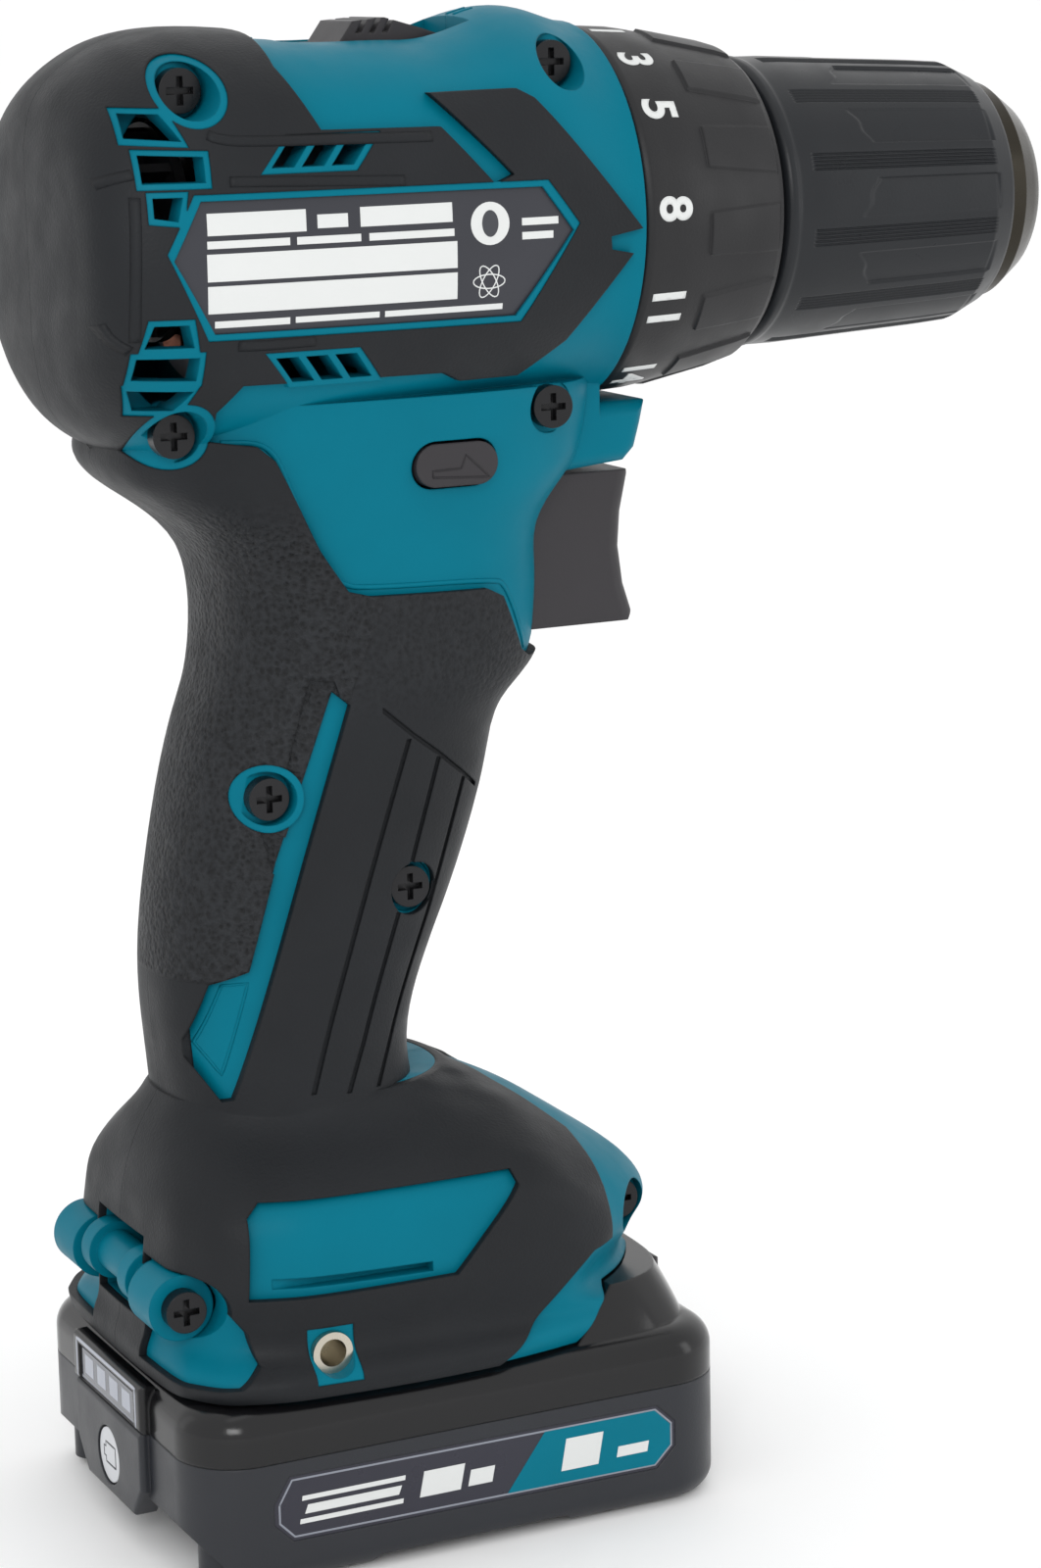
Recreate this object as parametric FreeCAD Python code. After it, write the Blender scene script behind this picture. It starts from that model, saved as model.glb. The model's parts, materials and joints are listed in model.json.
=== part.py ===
import FreeCAD, Part

import math
import os

from FreeCAD import Vector

# Cordless drill. Origin: centre of the footprint, on the standing surface.
# +X is forward along the chuck, +Y is the user's left, +Z is up. Millimetres.

# Driving dimensions
AXIS_Z = 186.5  # height of the spindle above the bench
HEAD_FRONT = 3.3  # front edge of the housing, behind the clutch ring
NOSE_TIP = 77.0  # front of the chuck
SKIN = 1.2  # thickness of the soft overmould
WALL = 2.6  # thickness of the hard housing
FOOT_BASE = 26.6  # underside of the handle's foot
CHANNEL_ROOF = 33.0  # top of the channel that takes the battery's rail
CHANNEL_HALF = 20.0
BATTERY_REAR = -72.0
BATTERY_FRONT = 12.0
BATTERY_HALF = 33.0
BATTERY_SEAM = 18.4
BATTERY_CORNER = 9.5
BUTTON_Z = 10.8
RUN = 0.3  # clearance between parts that slide past each other

# Gear train
MODULE = 0.6
SUN_TEETH = 15
PLANET_TEETH = 15
RING_TEETH = 45
PLANET_CIRCLE = MODULE * (SUN_TEETH + PLANET_TEETH) / 2
PLANET_ANGLES = (90, 210, 330)

# Motor
SHAFT_RADIUS = 2.45
STATOR_RADIUS = 21.0

# Keyless chuck
JAW_TILT = 15.0
JAW_RADIUS = 3.1
JAW_BORE = 5.4  # radius of the mouth at the nose
MOUTH_END = 71.0
RELIEF_BORE = 5.8  # the wider bore behind the mouth, between the open jaws
BORE_END = 50.0

# Head of the housing: x, half width, top, bottom, squareness of the section
HEAD_SECTIONS = (
    (-76.0, 15.5, 197.8, 174.0, 2.2),
    (-75.3, 19.8, 201.4, 168.8, 2.2),
    (-73.5, 23.4, 205.2, 163.6, 2.3),
    (-70.0, 26.2, 208.8, 159.6, 2.4),
    (-65.0, 27.7, 211.6, 157.2, 2.6),
    (-57.0, 28.2, 213.0, 156.5, 2.8),
    (-46.0, 28.3, 212.4, 157.5, 2.8),
    (-32.0, 28.2, 212.0, 158.5, 2.7),
    (-20.0, 28.0, 212.6, 159.0, 2.5),
    (-12.0, 27.8, 215.2, 159.2, 2.3),
    (-6.0, 27.4, 215.8, 159.4, 2.1),
    (HEAD_FRONT, 27.0, 213.5, 159.5, 2.0),
)
# Handle: z, back, front, half width, squareness
HANDLE_SECTIONS = (
    (58.0, -61.6, -25.0, 17.0, 2.4),
    (64.0, -62.0, -27.2, 16.0, 2.4),
    (72.0, -62.7, -27.4, 15.6, 2.4),
    (80.0, -63.2, -25.0, 15.6, 2.4),
    (90.0, -62.6, -20.6, 15.8, 2.4),
    (100.0, -61.0, -16.7, 16.0, 2.4),
    (110.0, -58.8, -13.8, 16.4, 2.4),
    (118.0, -56.4, -11.1, 16.8, 2.4),
    (124.0, -54.2, -6.0, 17.2, 2.5),
    (130.0, -52.9, -5.0, 17.6, 2.7),
    (137.0, -52.8, -5.0, 18.2, 2.8),
    (142.0, -54.2, -5.0, 18.9, 2.8),
    (146.0, -57.4, -3.6, 19.7, 2.9),
    (149.5, -62.0, -1.0, 20.5, 3.0),
    (153.0, -66.6, 1.4, 21.3, 3.0),
    (158.0, -68.2, 2.6, 22.4, 3.0),
    (164.0, -69.2, 2.9, 23.4, 2.9),
)
# Foot: z, rear, front, half width, squareness
FOOT_SECTIONS = (
    (24.0, -69.6, 9.8, 29.8, 4.0),
    (32.0, -69.6, 9.8, 29.9, 4.0),
    (40.0, -69.4, 9.8, 29.8, 4.0),
    (44.0, -69.1, 9.4, 29.7, 4.0),
    (47.0, -68.8, 7.0, 29.4, 3.9),
    (50.5, -68.4, 2.6, 28.6, 3.7),
    (54.0, -67.6, -2.4, 26.2, 3.3),
    (57.0, -66.6, -6.8, 22.8, 3.0),
    (60.0, -65.2, -12.0, 19.0, 2.7),
    (62.6, -63.6, -17.6, 16.6, 2.5),
    (64.6, -62.4, -21.6, 15.2, 2.4),
)

# Housing screws: x, z, where the head sits, teal collar round the head
SCREWS = (
    (-62.0, 206.2, -17.5, True),
    (-64.5, 160.6, -17.0, True),
    (-5.5, 208.2, -13.8, False),
    (-8.7, 161.0, -19.0, False),
    (-51.0, 108.6, -13.2, True),
    (-29.5, 93.3, -12.2, False),
    (3.6, 41.2, -11.5, False),
)
SCREW_HEAD = 3.0
SCREW_SHANK = 1.5
SCREW_END = 12.0  # how far each screw reaches into the left half
SCREW_WELL = 3.8  # radius of the deep well round each head
COLLAR = 4.8

# Clip inserts on both sides of the foot
INSERT_X = -50.4
INSERT_Z = 32.2
INSERT_BORE = 2.0
INSERT_RADIUS = 3.0

STRAP_X = -68.7
STRAP_Z = 39.6


# ---- Shape helpers ----

def block(x0, x1, y0, y1, z0, z1):
    return Part.makeBox(x1 - x0, y1 - y0, z1 - z0, Vector(x0, y0, z0))


def disc(x0, x1, radius, y=0.0, z=AXIS_Z):
    return Part.makeCylinder(radius, x1 - x0, Vector(x0, y, z), Vector(1, 0, 0))


def tube(x0, x1, outer, inner):
    return disc(x0, x1, outer).cut(disc(x0 - 1, x1 + 1, inner))


def post(x, z, y0, y1, radius):
    return Part.makeCylinder(radius, y1 - y0, Vector(x, y0, z), Vector(0, 1, 0))


def peg(x, y, z0, z1, radius):
    return Part.makeCylinder(radius, z1 - z0, Vector(x, y, z0))


def turned(profile):
    """A solid of revolution about the spindle, from (x, radius) points."""
    points = [Vector(x, 0, AXIS_Z + radius) for x, radius in profile]
    face = Part.Face(Part.makePolygon(points + points[:1]))
    return face.revolve(Vector(0, 0, AXIS_Z), Vector(1, 0, 0), 360)


def side_prism(outline, y0, y1):
    """An outline seen from the side, in x and z, extruded across."""
    points = [Vector(x, y0, z) for x, z in outline]
    return Part.Face(Part.makePolygon(points + points[:1])).extrude(Vector(0, y1 - y0, 0))


def plan_prism(outline, z0, z1):
    """An outline seen from above, in x and y, extruded upwards."""
    points = [Vector(x, y, z0) for x, y in outline]
    return Part.Face(Part.makePolygon(points + points[:1])).extrude(Vector(0, 0, z1 - z0))


def joined(shapes):
    shapes = list(shapes)
    return shapes[0].fuse(shapes[1:]) if len(shapes) > 1 else shapes[0]


def carved(shape, tools):
    tools = list(tools)
    return shape.cut(tools) if tools else shape


def other_side(shape):
    return shape.mirror(Vector(0, 0, 0), Vector(0, 1, 0))


def both_sides(shape):
    return joined([shape, other_side(shape)])


def spun(shape, angle):
    """A copy turned about the spindle axis."""
    copy = shape.copy()
    copy.rotate(Vector(0, 0, AXIS_Z), Vector(1, 0, 0), angle)
    return copy


def rounded(shape, radius, picks):
    """Fillets the edges that picks() accepts."""
    edges = [edge for edge in shape.Edges if picks(edge)]
    return shape.makeFillet(radius, edges)


def upright(edge):
    box = edge.BoundBox
    return box.ZLength > 1 and box.XLength < 0.01 and box.YLength < 0.01


def at_height(z):
    return lambda edge: abs(edge.BoundBox.ZMin - z) < 0.01 and abs(edge.BoundBox.ZMax - z) < 0.01


# ---- Outer form of the housing ----

def signed_power(value, power):
    return math.copysign(abs(value) ** power, value)


def section(half_a, half_b, squareness, place, count=28):
    """A closed smooth wire round a superellipse; place() puts (a, b) in space."""
    points = []
    for step in range(count):
        angle = 2 * math.pi * step / count
        a = half_a * signed_power(math.cos(angle), 2 / squareness)
        b = half_b * signed_power(math.sin(angle), 2 / squareness)
        points.append(place(a, b))
    curve = Part.BSplineCurve()
    spacing = [step / count for step in range(count + 1)]
    curve.interpolate(Points=points, PeriodicFlag=True, Parameters=spacing)
    return Part.Wire(curve.toShape())


def head_form(grow):
    wires = []
    for x, half, top, bottom, squareness in HEAD_SECTIONS:
        shift = grow * min(1, max(0, (-66 - x) / 8))
        middle = (top + bottom) / 2
        height = (top - bottom) / 2 + grow
        wires.append(section(
            half + grow, height, squareness,
            lambda a, b, x=x - shift, middle=middle: Vector(x, a, middle + b)))
    return Part.makeLoft(wires, True)


def handle_form(grow):
    wires = []
    for z, back, front, half, squareness in HANDLE_SECTIONS:
        middle = (back + front) / 2
        depth = (front - back) / 2 + grow
        wires.append(section(
            depth, half + grow, squareness,
            lambda a, b, z=z, middle=middle: Vector(middle + a, b, z)))
    return Part.makeLoft(wires, True)


def foot_taper(x, front):
    """The foot narrows towards its nose."""
    along = min(1, max(0, (x + 16) / (front + 16))) if front > -15 else 0
    return 1 - 0.42 * along ** 1.6


def foot_form(grow):
    wires = []
    for z, rear, front, half, squareness in FOOT_SECTIONS:
        middle = (rear + front) / 2
        depth = (front - rear) / 2 + grow

        def place(a, b, z=z, middle=middle, front=front):
            return Vector(middle + a, b * foot_taper(middle + a, front), z)

        wires.append(section(depth, half + grow, squareness, place))
    return Part.makeLoft(wires, True)


def chin():
    """The nose under the clutch ring that holds the headlight."""
    outline = ((-24, 164), (3.0, 164), (3.0, 159.8), (11.0, 159.8), (10.2, 156.4),
               (9.2, 153.0), (7.4, 151.2), (-3, 150.2), (-24, 150.2))
    body = side_prism(outline, -12.5, 12.5)
    return rounded(body, 2.4, lambda edge: (
        abs(abs(edge.BoundBox.YMin) - 12.5) < 0.01
        and abs(edge.BoundBox.YLength) < 0.01
        and edge.BoundBox.XMin > -6 and edge.BoundBox.ZMax < 159.9))


def outer_form(grow):
    body = joined([head_form(grow), handle_form(grow), foot_form(grow)])
    below = [(-95, FOOT_BASE), (-12, FOOT_BASE), (-4.6, CHANNEL_ROOF), (30, CHANNEL_ROOF),
             (30, 10), (-95, 10)]
    return body.cut(side_prism(below, -50, 50))


# ---- Regions on the side of the housing ----

RUBBER_HEAD_HANDLE = (
    (-95, 240), (-49, 240), (-49.3, 209), (-45.2, 200.7), (-27.6, 200.5), (-20.5, 192.6),
    (-17.6, 193.8), (-28.0, 204.9), (-15.0, 205.1), (-12.7, 203.8), (2.2, 185.6),
    (-2.8, 184.7), (-2.6, 182.9), (0.9, 182.2), (-8.1, 170.5), (-14.8, 165.9),
    (-24.3, 165.9), (-27.3, 167.3), (-57.3, 167.6), (-60.4, 164.0), (-60.0, 159.6),
    (-53.7, 158.7), (-51.2, 156.6), (-43.7, 143.3), (-39.5, 137.2), (-36.1, 136.3),
    (-18.2, 135.8), (-15.4, 134.4), (-11.4, 126.1), (-9.2, 124.6), (15, 124.6),
    (15, 64), (-95, 64))
RUBBER_FOOT = ((-95, 20), (-25.8, 20), (-25.8, FOOT_BASE), (-8.3, 39.7), (-4.3, 40.3), (-4.4, 70),
               (-95, 70))
FOOT_NOSE = ((-19.5, -2.5), (-5.5, -14.5), (-4.4, -24), (40, -24), (40, 1), (-19.5, 1))
HANDLE_STRIP = (
    (-41.7, 123.2), (-39.3, 121.1), (-57.2, 65.6), (-58.7, 65.2), (-63.0, 72.4),
    (-59.8, 82.3), (-54.8, 84.2), (-50.4, 99.4), (-48.0, 106.0))
FOOT_PANEL = ((-61.6, 40.6), (-60.6, 52.0), (-58.6, 53.8), (-20.9, 53.6), (-20.3, 51.6), (-31.0, 40.5))
PANEL_SLOT = ((-58.0, 41.9), (-58.0, 43.3), (-34.4, 42.7), (-34.4, 41.3))
LABEL = ((-63.1, 192.2), (-13.4, 192.0), (-8.7, 185.9), (-17.3, 174.7), (-61.7, 174.8), (-67.0, 184.6))
STRAP_LEAF = ((-76, 46), (-71, 44.5), (-66, 41.5), (-61.6, 35.6), (-60.6, 31.4), (-64, 29.0),
              (-70, 28.6), (-76, 29.0))
REAR_VENTS = (
    ((-71.0, 203.6), (-66.6, 203.4), (-64.6, 199.9), (-71.2, 200.4)),
    ((-70.2, 198.3), (-62.2, 197.9), (-62.2, 194.6), (-70.2, 194.6)),
    ((-69.2, 192.8), (-65.4, 192.8), (-66.2, 189.7), (-69.2, 190.2)),
    ((-69.6, 176.2), (-65.2, 176.2), (-64.4, 173.2), (-70.6, 173.2)),
    ((-71.4, 171.8), (-63.6, 171.8), (-63.8, 168.7), (-71.6, 168.9)),
    ((-71.8, 167.4), (-63.9, 167.2), (-66.0, 164.6), (-70.6, 164.6)),
)
SIDE_VENTS = ((-51.6, 197.8), (-51.6, 169.4))  # left end and middle height of each slanted triple
GRIP_GROOVES = (
    ((-30.5, 115.4), (-36.8, 96.0), (-43.8, 74.1), (-46.4, 65.6)),
    ((-25.5, 112.3), (-31.4, 92.3), (-38.1, 72.1), (-40.9, 65.0)),
    ((-20.6, 108.6), (-26.5, 89.3), (-33.7, 70.0), (-35.9, 65.0)),
)
GRIP_TOP = ((-34.6, 120.0), (-29.7, 115.8), (-25.7, 112.8), (-17.6, 106.4))
STRIP_RECESSES = (
    ((-44.8, 125.0), (-41.4, 124.6), (-40.6, 122.0), (-47.2, 107.4), (-48.6, 112.3)),
    ((-52.6, 105.4), (-48.4, 102.6), (-50.9, 97.8)),
)
GROOVE_WIDTH = 0.8
RUBBER_CUT = 0.55  # depth of the grooves and recesses in the overmould
VENT_PITCH = 4.3
VENT_WIDTH = 3.2
VENT_HEIGHT = 3.4


def grown_outline(outline, by):
    """An outline pushed out from its middle by about the given distance."""
    middle_x = sum(x for x, _ in outline) / len(outline)
    middle_z = sum(z for _, z in outline) / len(outline)
    points = []
    for x, z in outline:
        away_x, away_z = x - middle_x, z - middle_z
        points.append((x + by * math.copysign(1, away_x), z + by * math.copysign(1, away_z)))
    return tuple(points)


def slanted_slot(left, right, middle, half, lean):
    """A four-sided outline that leans forward by the given amount at its top."""
    return ((left - lean, middle - half), (right - lean, middle - half),
            (right + lean, middle + half), (left + lean, middle + half))


def side_vent_outlines():
    outlines = []
    for left, middle in SIDE_VENTS:
        lean = 1.4 if middle > AXIS_Z else -1.4
        for step in range(3):
            x = left + step * VENT_PITCH
            outlines.append(slanted_slot(x, x + VENT_WIDTH, middle, VENT_HEIGHT / 2, lean))
    return outlines


def side_vent_frames():
    frames = []
    reach = 3 * VENT_PITCH
    for left, middle in SIDE_VENTS:
        lean = 2.1 if middle > AXIS_Z else -2.1
        frames.append(slanted_slot(left - 1.0, left + reach, middle, VENT_HEIGHT / 2 + 0.8, lean))
    return frames


def vent_holes():
    return [side_prism(outline, -40, -17) for outline in REAR_VENTS + tuple(side_vent_outlines())]


def hard_windows():
    """Places where the hard shell comes up through the rubber: collars, vent frames and plates."""
    windows = [post(x, z, -40, -8, COLLAR) for x, z, _, collar in SCREWS if collar]
    windows += [side_prism(grown_outline(outline, 0.8), -40, -8) for outline in REAR_VENTS]
    windows += [side_prism(outline, -40, -8) for outline in side_vent_frames()]
    windows.append(side_prism(grown_outline(LABEL, 0.9), -40, -8))
    windows.append(block(INSERT_X - 3.4, INSERT_X + 3.4, -40, -24, INSERT_Z - 3.6, INSERT_Z + 3.6))
    return windows


def plate_space():
    return side_prism(LABEL, -60, -10)


# ---- Housing halves, overmould and plates ----

def right_half(shape):
    return shape.common(block(-100, 100, -60, 0, 0, 240))


def boss_posts():
    slim = [post(x, z, -60, 1, 3.9) for x, z, _, _ in SCREWS]
    round_wells = [post(x, z, -60, seat + 1.0, SCREW_WELL + 1.0) for x, z, seat, _ in SCREWS]
    return slim + round_wells


def hollow():
    """The room inside the right half, with screw bosses and bearing seats left standing."""
    motor_room = head_form(-WALL).common(block(-73.0, -31.5, -60, 1, 150, 230))
    ribs = [tube(x, x + 2, 40, STATOR_RADIUS + 0.05) for x in (-52, -41)]
    motor_room = motor_room.cut(ribs)
    motor_room = motor_room.cut(disc(-75, -68.9, 9.5))
    stator_room = disc(-57.6, -31.4, STATOR_RADIUS + 0.05)
    motor_room = motor_room.fuse(stator_room.common(block(-60, 0, -60, 1, 100, 240)))
    handle_room = handle_form(-WALL).common(block(-80, -13, -60, 1, 66, 160))
    foot_room = foot_form(-WALL).common(block(-68, 2, -60, 1, 35.4, 60.5))
    room = joined([motor_room, handle_room, foot_room])
    room = room.cut(boss_posts())
    bearing_seat = disc(-72.9, -68.0, 6.5)
    gear_seat = disc(-31.6, HEAD_FRONT + 1, 19.6)
    return [room, bearing_seat, gear_seat]


def trigger_outline():
    return ((-9.0, 127.6), (8.6, 127.6), (9.9, 129.2), (8.7, 133.0), (8.0, 138.5), (8.4, 143.5),
            (9.5, 148.4), (8.8, 149.7), (-9.0, 149.7))


def trigger_opening():
    return block(-16.4, 20, -9.9, 9.9, 127.2, 150.1).fuse(block(-40, -10, -10.3, 10.3, 128.5, 149.0))


def selector_openings():
    knob_bed = block(-42.4, -14.0, -7.6, 7.6, 209.3, 230)
    stem_slot = block(-36.2, -26.6, -3.4, 3.4, 206.0, 210)
    slide_bed = block(-36.2, -3.0, -6.3, 6.3, 205.9, 208.9)
    return [knob_bed, stem_slot, slide_bed]


def lever_opening():
    return rounded_bar(-24.2, 154.2, -60, 60, 6.6, 3.4)


def rounded_bar(x, z, y0, y1, half_length, radius):
    """A bar along Y with an oblong section."""
    straight = half_length - radius
    middle = block(x - straight, x + straight, y0, y1, z - radius, z + radius)
    ends = [post(x + side * straight, z, y0, y1, radius) for side in (-1, 1)]
    return joined([middle] + ends)


def rail_channel():
    channel = block(-61, 40, -CHANNEL_HALF, CHANNEL_HALF, 20, CHANNEL_ROOF)
    ledge = block(-62, -10, CHANNEL_HALF - 3.0, CHANNEL_HALF, FOOT_BASE - 1, 28.7)
    return channel.cut(both_sides(ledge))


def screw(x, z, seat, end):
    """A cross-head screw along Y; its head lies outside the seat."""
    head = post(x, z, seat - 2.2, seat, SCREW_HEAD)
    shank = post(x, z, seat, end, SCREW_SHANK)
    slots = [block(x - 1.9, x + 1.9, seat - 3, seat - 1.0, z - 0.45, z + 0.45),
             block(x - 0.45, x + 0.45, seat - 3, seat - 1.0, z - 1.9, z + 1.9)]
    return head.fuse(shank).cut(slots)


def screw_wells():
    """Wells for the heads, right side only, and the bores that the shanks fill."""
    wells = []
    for x, z, seat, _ in SCREWS:
        wells.append(post(x, z, -60, seat, SCREW_WELL))
        wells.append(post(x, z, seat - 0.1, SCREW_END, SCREW_SHANK))
    return wells


def side_post(x, z, side, near, far, radius):
    """A round bar on one side of the drill, from near to far off the middle."""
    return post(x, z, min(side * near, side * far), max(side * near, side * far), radius)


def insert_pocket(side):
    return side_post(INSERT_X, INSERT_Z, side, 22.5, 40, INSERT_RADIUS)


def strap_bar():
    bar = post(STRAP_X, STRAP_Z, -19.5, 19.5, 3.1)
    collars = [post(STRAP_X, STRAP_Z, y - 1.7, y + 1.7, 4.3) for y in (-7.4, 7.4)]
    ends = [post(STRAP_X, STRAP_Z - 1.0, y - 4.2, y + 4.2, 4.8) for y in (-15.6, 15.6)]
    return joined([bar] + collars + ends)


def strap_screws():
    """The same screw, driven into each end of the strap bar."""
    right = screw(STRAP_X, STRAP_Z - 1.0, -19.8, -10.0)
    return [right, other_side(right)]


def strap_notch():
    gap = block(-80, -64.6, -9.1, 9.1, 33.6, 46.2)
    corners = [side_post(STRAP_X, STRAP_Z - 1.0, side, 11, 30, 5.1) for side in (-1, 1)]
    return [gap] + corners


def shell_right(form, raised):
    """Half of the hard housing, with everything except the screw wells."""
    body = right_half(form).fuse(right_half(raised))
    tools = hollow() + vent_holes() + selector_openings() + strap_notch()
    tools += [trigger_opening(), lever_opening(), rail_channel(), insert_pocket(-1)]
    tools.append(side_prism(PANEL_SLOT, -40, -27.4))
    tools += [lens_shape(), block(4.9, 7.1, -5.5, 5.5, 152.3, 158.7)]
    body = carved(body, tools)
    return body.common(block(-100, 100, -60, 0, 0, 240))


def ribbon(line, across_x, across_z):
    """A narrow outline along a line, as wide as the two offsets say."""
    near = [(x - across_x / 2, z - across_z / 2) for x, z in line]
    far = [(x + across_x / 2, z + across_z / 2) for x, z in reversed(line)]
    return tuple(near + far)


def rubber_recesses():
    """Grooves of the grip and the sunk patches beside the teal strip, cut part way into the skin."""
    outlines = [ribbon(line, GROOVE_WIDTH, 0) for line in GRIP_GROOVES]
    outlines.append(ribbon(GRIP_TOP, 0, GROOVE_WIDTH))
    outlines += STRIP_RECESSES
    core = outer_form(SKIN - RUBBER_CUT)
    return [side_prism(outline, -40, -5).cut(core) for outline in outlines]


def overmould_right(form, skin_form):
    skin = right_half(skin_form.cut(form))
    head_handle = side_prism(RUBBER_HEAD_HANDLE, -60, 1).common(block(-100, 100, -60, 1, 64, 240))
    foot = side_prism(RUBBER_FOOT, -60, 1).cut(plan_prism(FOOT_NOSE, 0, 70))
    foot = foot.common(block(-100, 100, -60, 1, 20, 64.0))
    region = head_handle.fuse(foot)
    body = skin.common(region)
    tools = hard_windows() + selector_openings() + strap_notch()
    tools += [side_prism(HANDLE_STRIP, -60, -8), side_prism(FOOT_PANEL, -60, -20)]
    tools += [side_prism(STRAP_LEAF, -60, -9.5), trigger_opening(), rail_channel()]
    tools += rubber_recesses()
    tools += [post(x, z, -60, -5, SCREW_WELL + 0.1) for x, z, _, collar in SCREWS if not collar]
    return carved(body, tools)


def rating_plate(form):
    """A thin plate in the frame that the hard shell makes for it."""
    return right_half(outer_form(0.6).cut(form).common(plate_space()))


def lens_shape():
    return rounded(block(7.0, 10.4, -4.4, 4.4, 153.6, 157.6), 0.8,
                   lambda edge: edge.BoundBox.XLength > 3)


# ---- Controls ----

def trigger():
    """A hollow trigger with its plunger."""
    body = side_prism(trigger_outline(), -9.6, 9.6)
    body = rounded(body, 2.6, lambda edge: (
        abs(abs(edge.BoundBox.YMin) - 9.6) < 0.01 and edge.BoundBox.YLength < 0.01
        and edge.BoundBox.XMin > 7.5 and edge.BoundBox.ZLength > 2.5))
    body = body.cut(block(-10, 5.6, -7.7, 7.7, 129.8, 148.0))
    return body.fuse(disc(-13.0, 6.0, 2.0, 0, 139.0))


def trigger_spring():
    return helix_coil(Vector(-9.4, 0, 139.0), Vector(1, 0, 0), 14.4, 3.3, 0.45, 5)


def helix_coil(base, axis, length, radius, wire_radius, turns):
    """A compression spring of round wire."""
    path = Part.makeHelix(length / turns, length, radius)
    climb = length / turns / (2 * math.pi * radius)
    profile = Part.Wire(Part.makeCircle(wire_radius, Vector(radius, 0, 0), Vector(0, 1, climb)))
    coil = Part.Wire(path.Edges).makePipeShell([profile], True, True)
    coil.Placement = FreeCAD.Placement(base, FreeCAD.Rotation(Vector(0, 0, 1), axis))
    return coil


def switch_body():
    wide = block(-37.6, -16.6, -9.9, 9.9, 128.9, 148.7)
    narrow = block(-16.6, -9.8, -7.2, 7.2, 130.4, 147.4)
    plunger_bore = disc(-22.0, -9.0, 2.3, 0, 139.0)
    spring_bore = disc(-16.4, -9.0, 4.1, 0, 139.0)
    return wide.fuse(narrow).cut([plunger_bore, spring_bore])


def direction_lever():
    """A bar that passes through both sides, with an arrow pad on each end."""
    bar = rounded_bar(-24.2, 154.2, -22.3, 22.3, 6.2, 3.0)
    return bar.fuse(peg(-24.2, 0, 149.4, 152.0, 1.6))


def speed_selector():
    """Thumb slide on the top, with the fork that shifts the second ring gear."""
    base = block(-37.6, -14.6, -7.2, 7.2, 209.6, 211.4)
    grip = side_prism(((-33.2, 211.0), (-30.8, 214.3), (-26.0, 214.7), (-20.4, 213.1), (-15.8, 211.6),
                       (-15.8, 211.0)), -5.6, 5.6)
    ridges = [side_prism(((x, 216), (x + 0.8, 216), (x - 1.2, 212.6), (x - 2.0, 212.6)), -6, 6)
              for x in (-28.4, -26.4, -24.4)]
    stem = block(-31.2, -27.2, -3.0, 3.0, 208.0, 209.7)
    slide = block(-31.2, -7.8, -5.9, 5.9, 206.4, 208.4)
    fork_pin = peg(-9.25, 0, 202.4, 206.5, 1.1)
    return joined([base, grip.cut(ridges), stem, slide, fork_pin])


# ---- Gear train ----

def involute(angle):
    return math.tan(angle) - angle


def flank_half_angle(teeth, radius, play):
    """Half the angle that a tooth fills at a radius; play is taken off each flank."""
    pitch_radius = MODULE * teeth / 2
    base_radius = pitch_radius * math.cos(math.radians(20))
    at_pitch = math.pi / (2 * teeth) - play / pitch_radius
    roll = math.acos(min(1, base_radius / max(radius, base_radius)))
    return at_pitch + involute(math.radians(20)) - involute(roll)


def tooth_wire(teeth, radii, play, phase, x, y, z):
    """A closed outline through every tooth, from the (inner to outer) flank radii."""
    points = []
    for tooth in range(teeth):
        middle = math.radians(phase) + 2 * math.pi * tooth / teeth
        flank = [(radius, flank_half_angle(teeth, radius, play)) for radius in radii]
        for radius, half in flank:
            points.append((radius, middle - half))
        for radius, half in reversed(flank):
            points.append((radius, middle + half))
    spots = []
    for radius, turn in points:
        spots.append(Vector(x, y + radius * math.cos(turn), z + radius * math.sin(turn)))
    return Part.makePolygon(spots + spots[:1])


def spur_gear(teeth, x0, x1, phase, y=0.0, z=AXIS_Z):
    pitch = MODULE * teeth / 2
    radii = (pitch - 1.25 * MODULE, pitch - 0.4 * MODULE, pitch + 0.3 * MODULE, pitch + 0.9 * MODULE)
    wire = tooth_wire(teeth, radii, 0.04, phase, x0, y, z)
    return Part.Face(wire).extrude(Vector(x1 - x0, 0, 0))


def ring_gear(x0, x1, outer):
    pitch = MODULE * RING_TEETH / 2
    radii = (pitch - 0.9 * MODULE, pitch - 0.3 * MODULE, pitch + 0.4 * MODULE, pitch + 1.25 * MODULE)
    wire = tooth_wire(RING_TEETH, radii, -0.04, PLANET_ANGLES[0], x0 - 1, 0, AXIS_Z)
    opening = Part.Face(wire).extrude(Vector(x1 - x0 + 2, 0, 0))
    return disc(x0, x1, outer).cut(opening)


def planet_spot(angle):
    turn = math.radians(angle)
    return PLANET_CIRCLE * math.cos(turn), AXIS_Z + PLANET_CIRCLE * math.sin(turn)


def planet(angle, x0, x1):
    y, z = planet_spot(angle)
    return spur_gear(PLANET_TEETH, x0, x1, 90, y, z).cut(disc(x0 - 1, x1 + 1, 1.55, y, z))


def planet_pins(x0, x1):
    return [disc(x0, x1, 1.5, *planet_spot(angle)) for angle in PLANET_ANGLES]


def first_carrier():
    plate = disc(-21.2, -18.8, 12.2)
    sun = spur_gear(SUN_TEETH, -19.0, -6.0, 90)
    return joined([plate, sun] + planet_pins(-27.3, -21.0))


def rotor_shaft():
    return joined([disc(-72.8, -27.2, SHAFT_RADIUS), spur_gear(SUN_TEETH, -27.2, -21.6, 90)])


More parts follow.
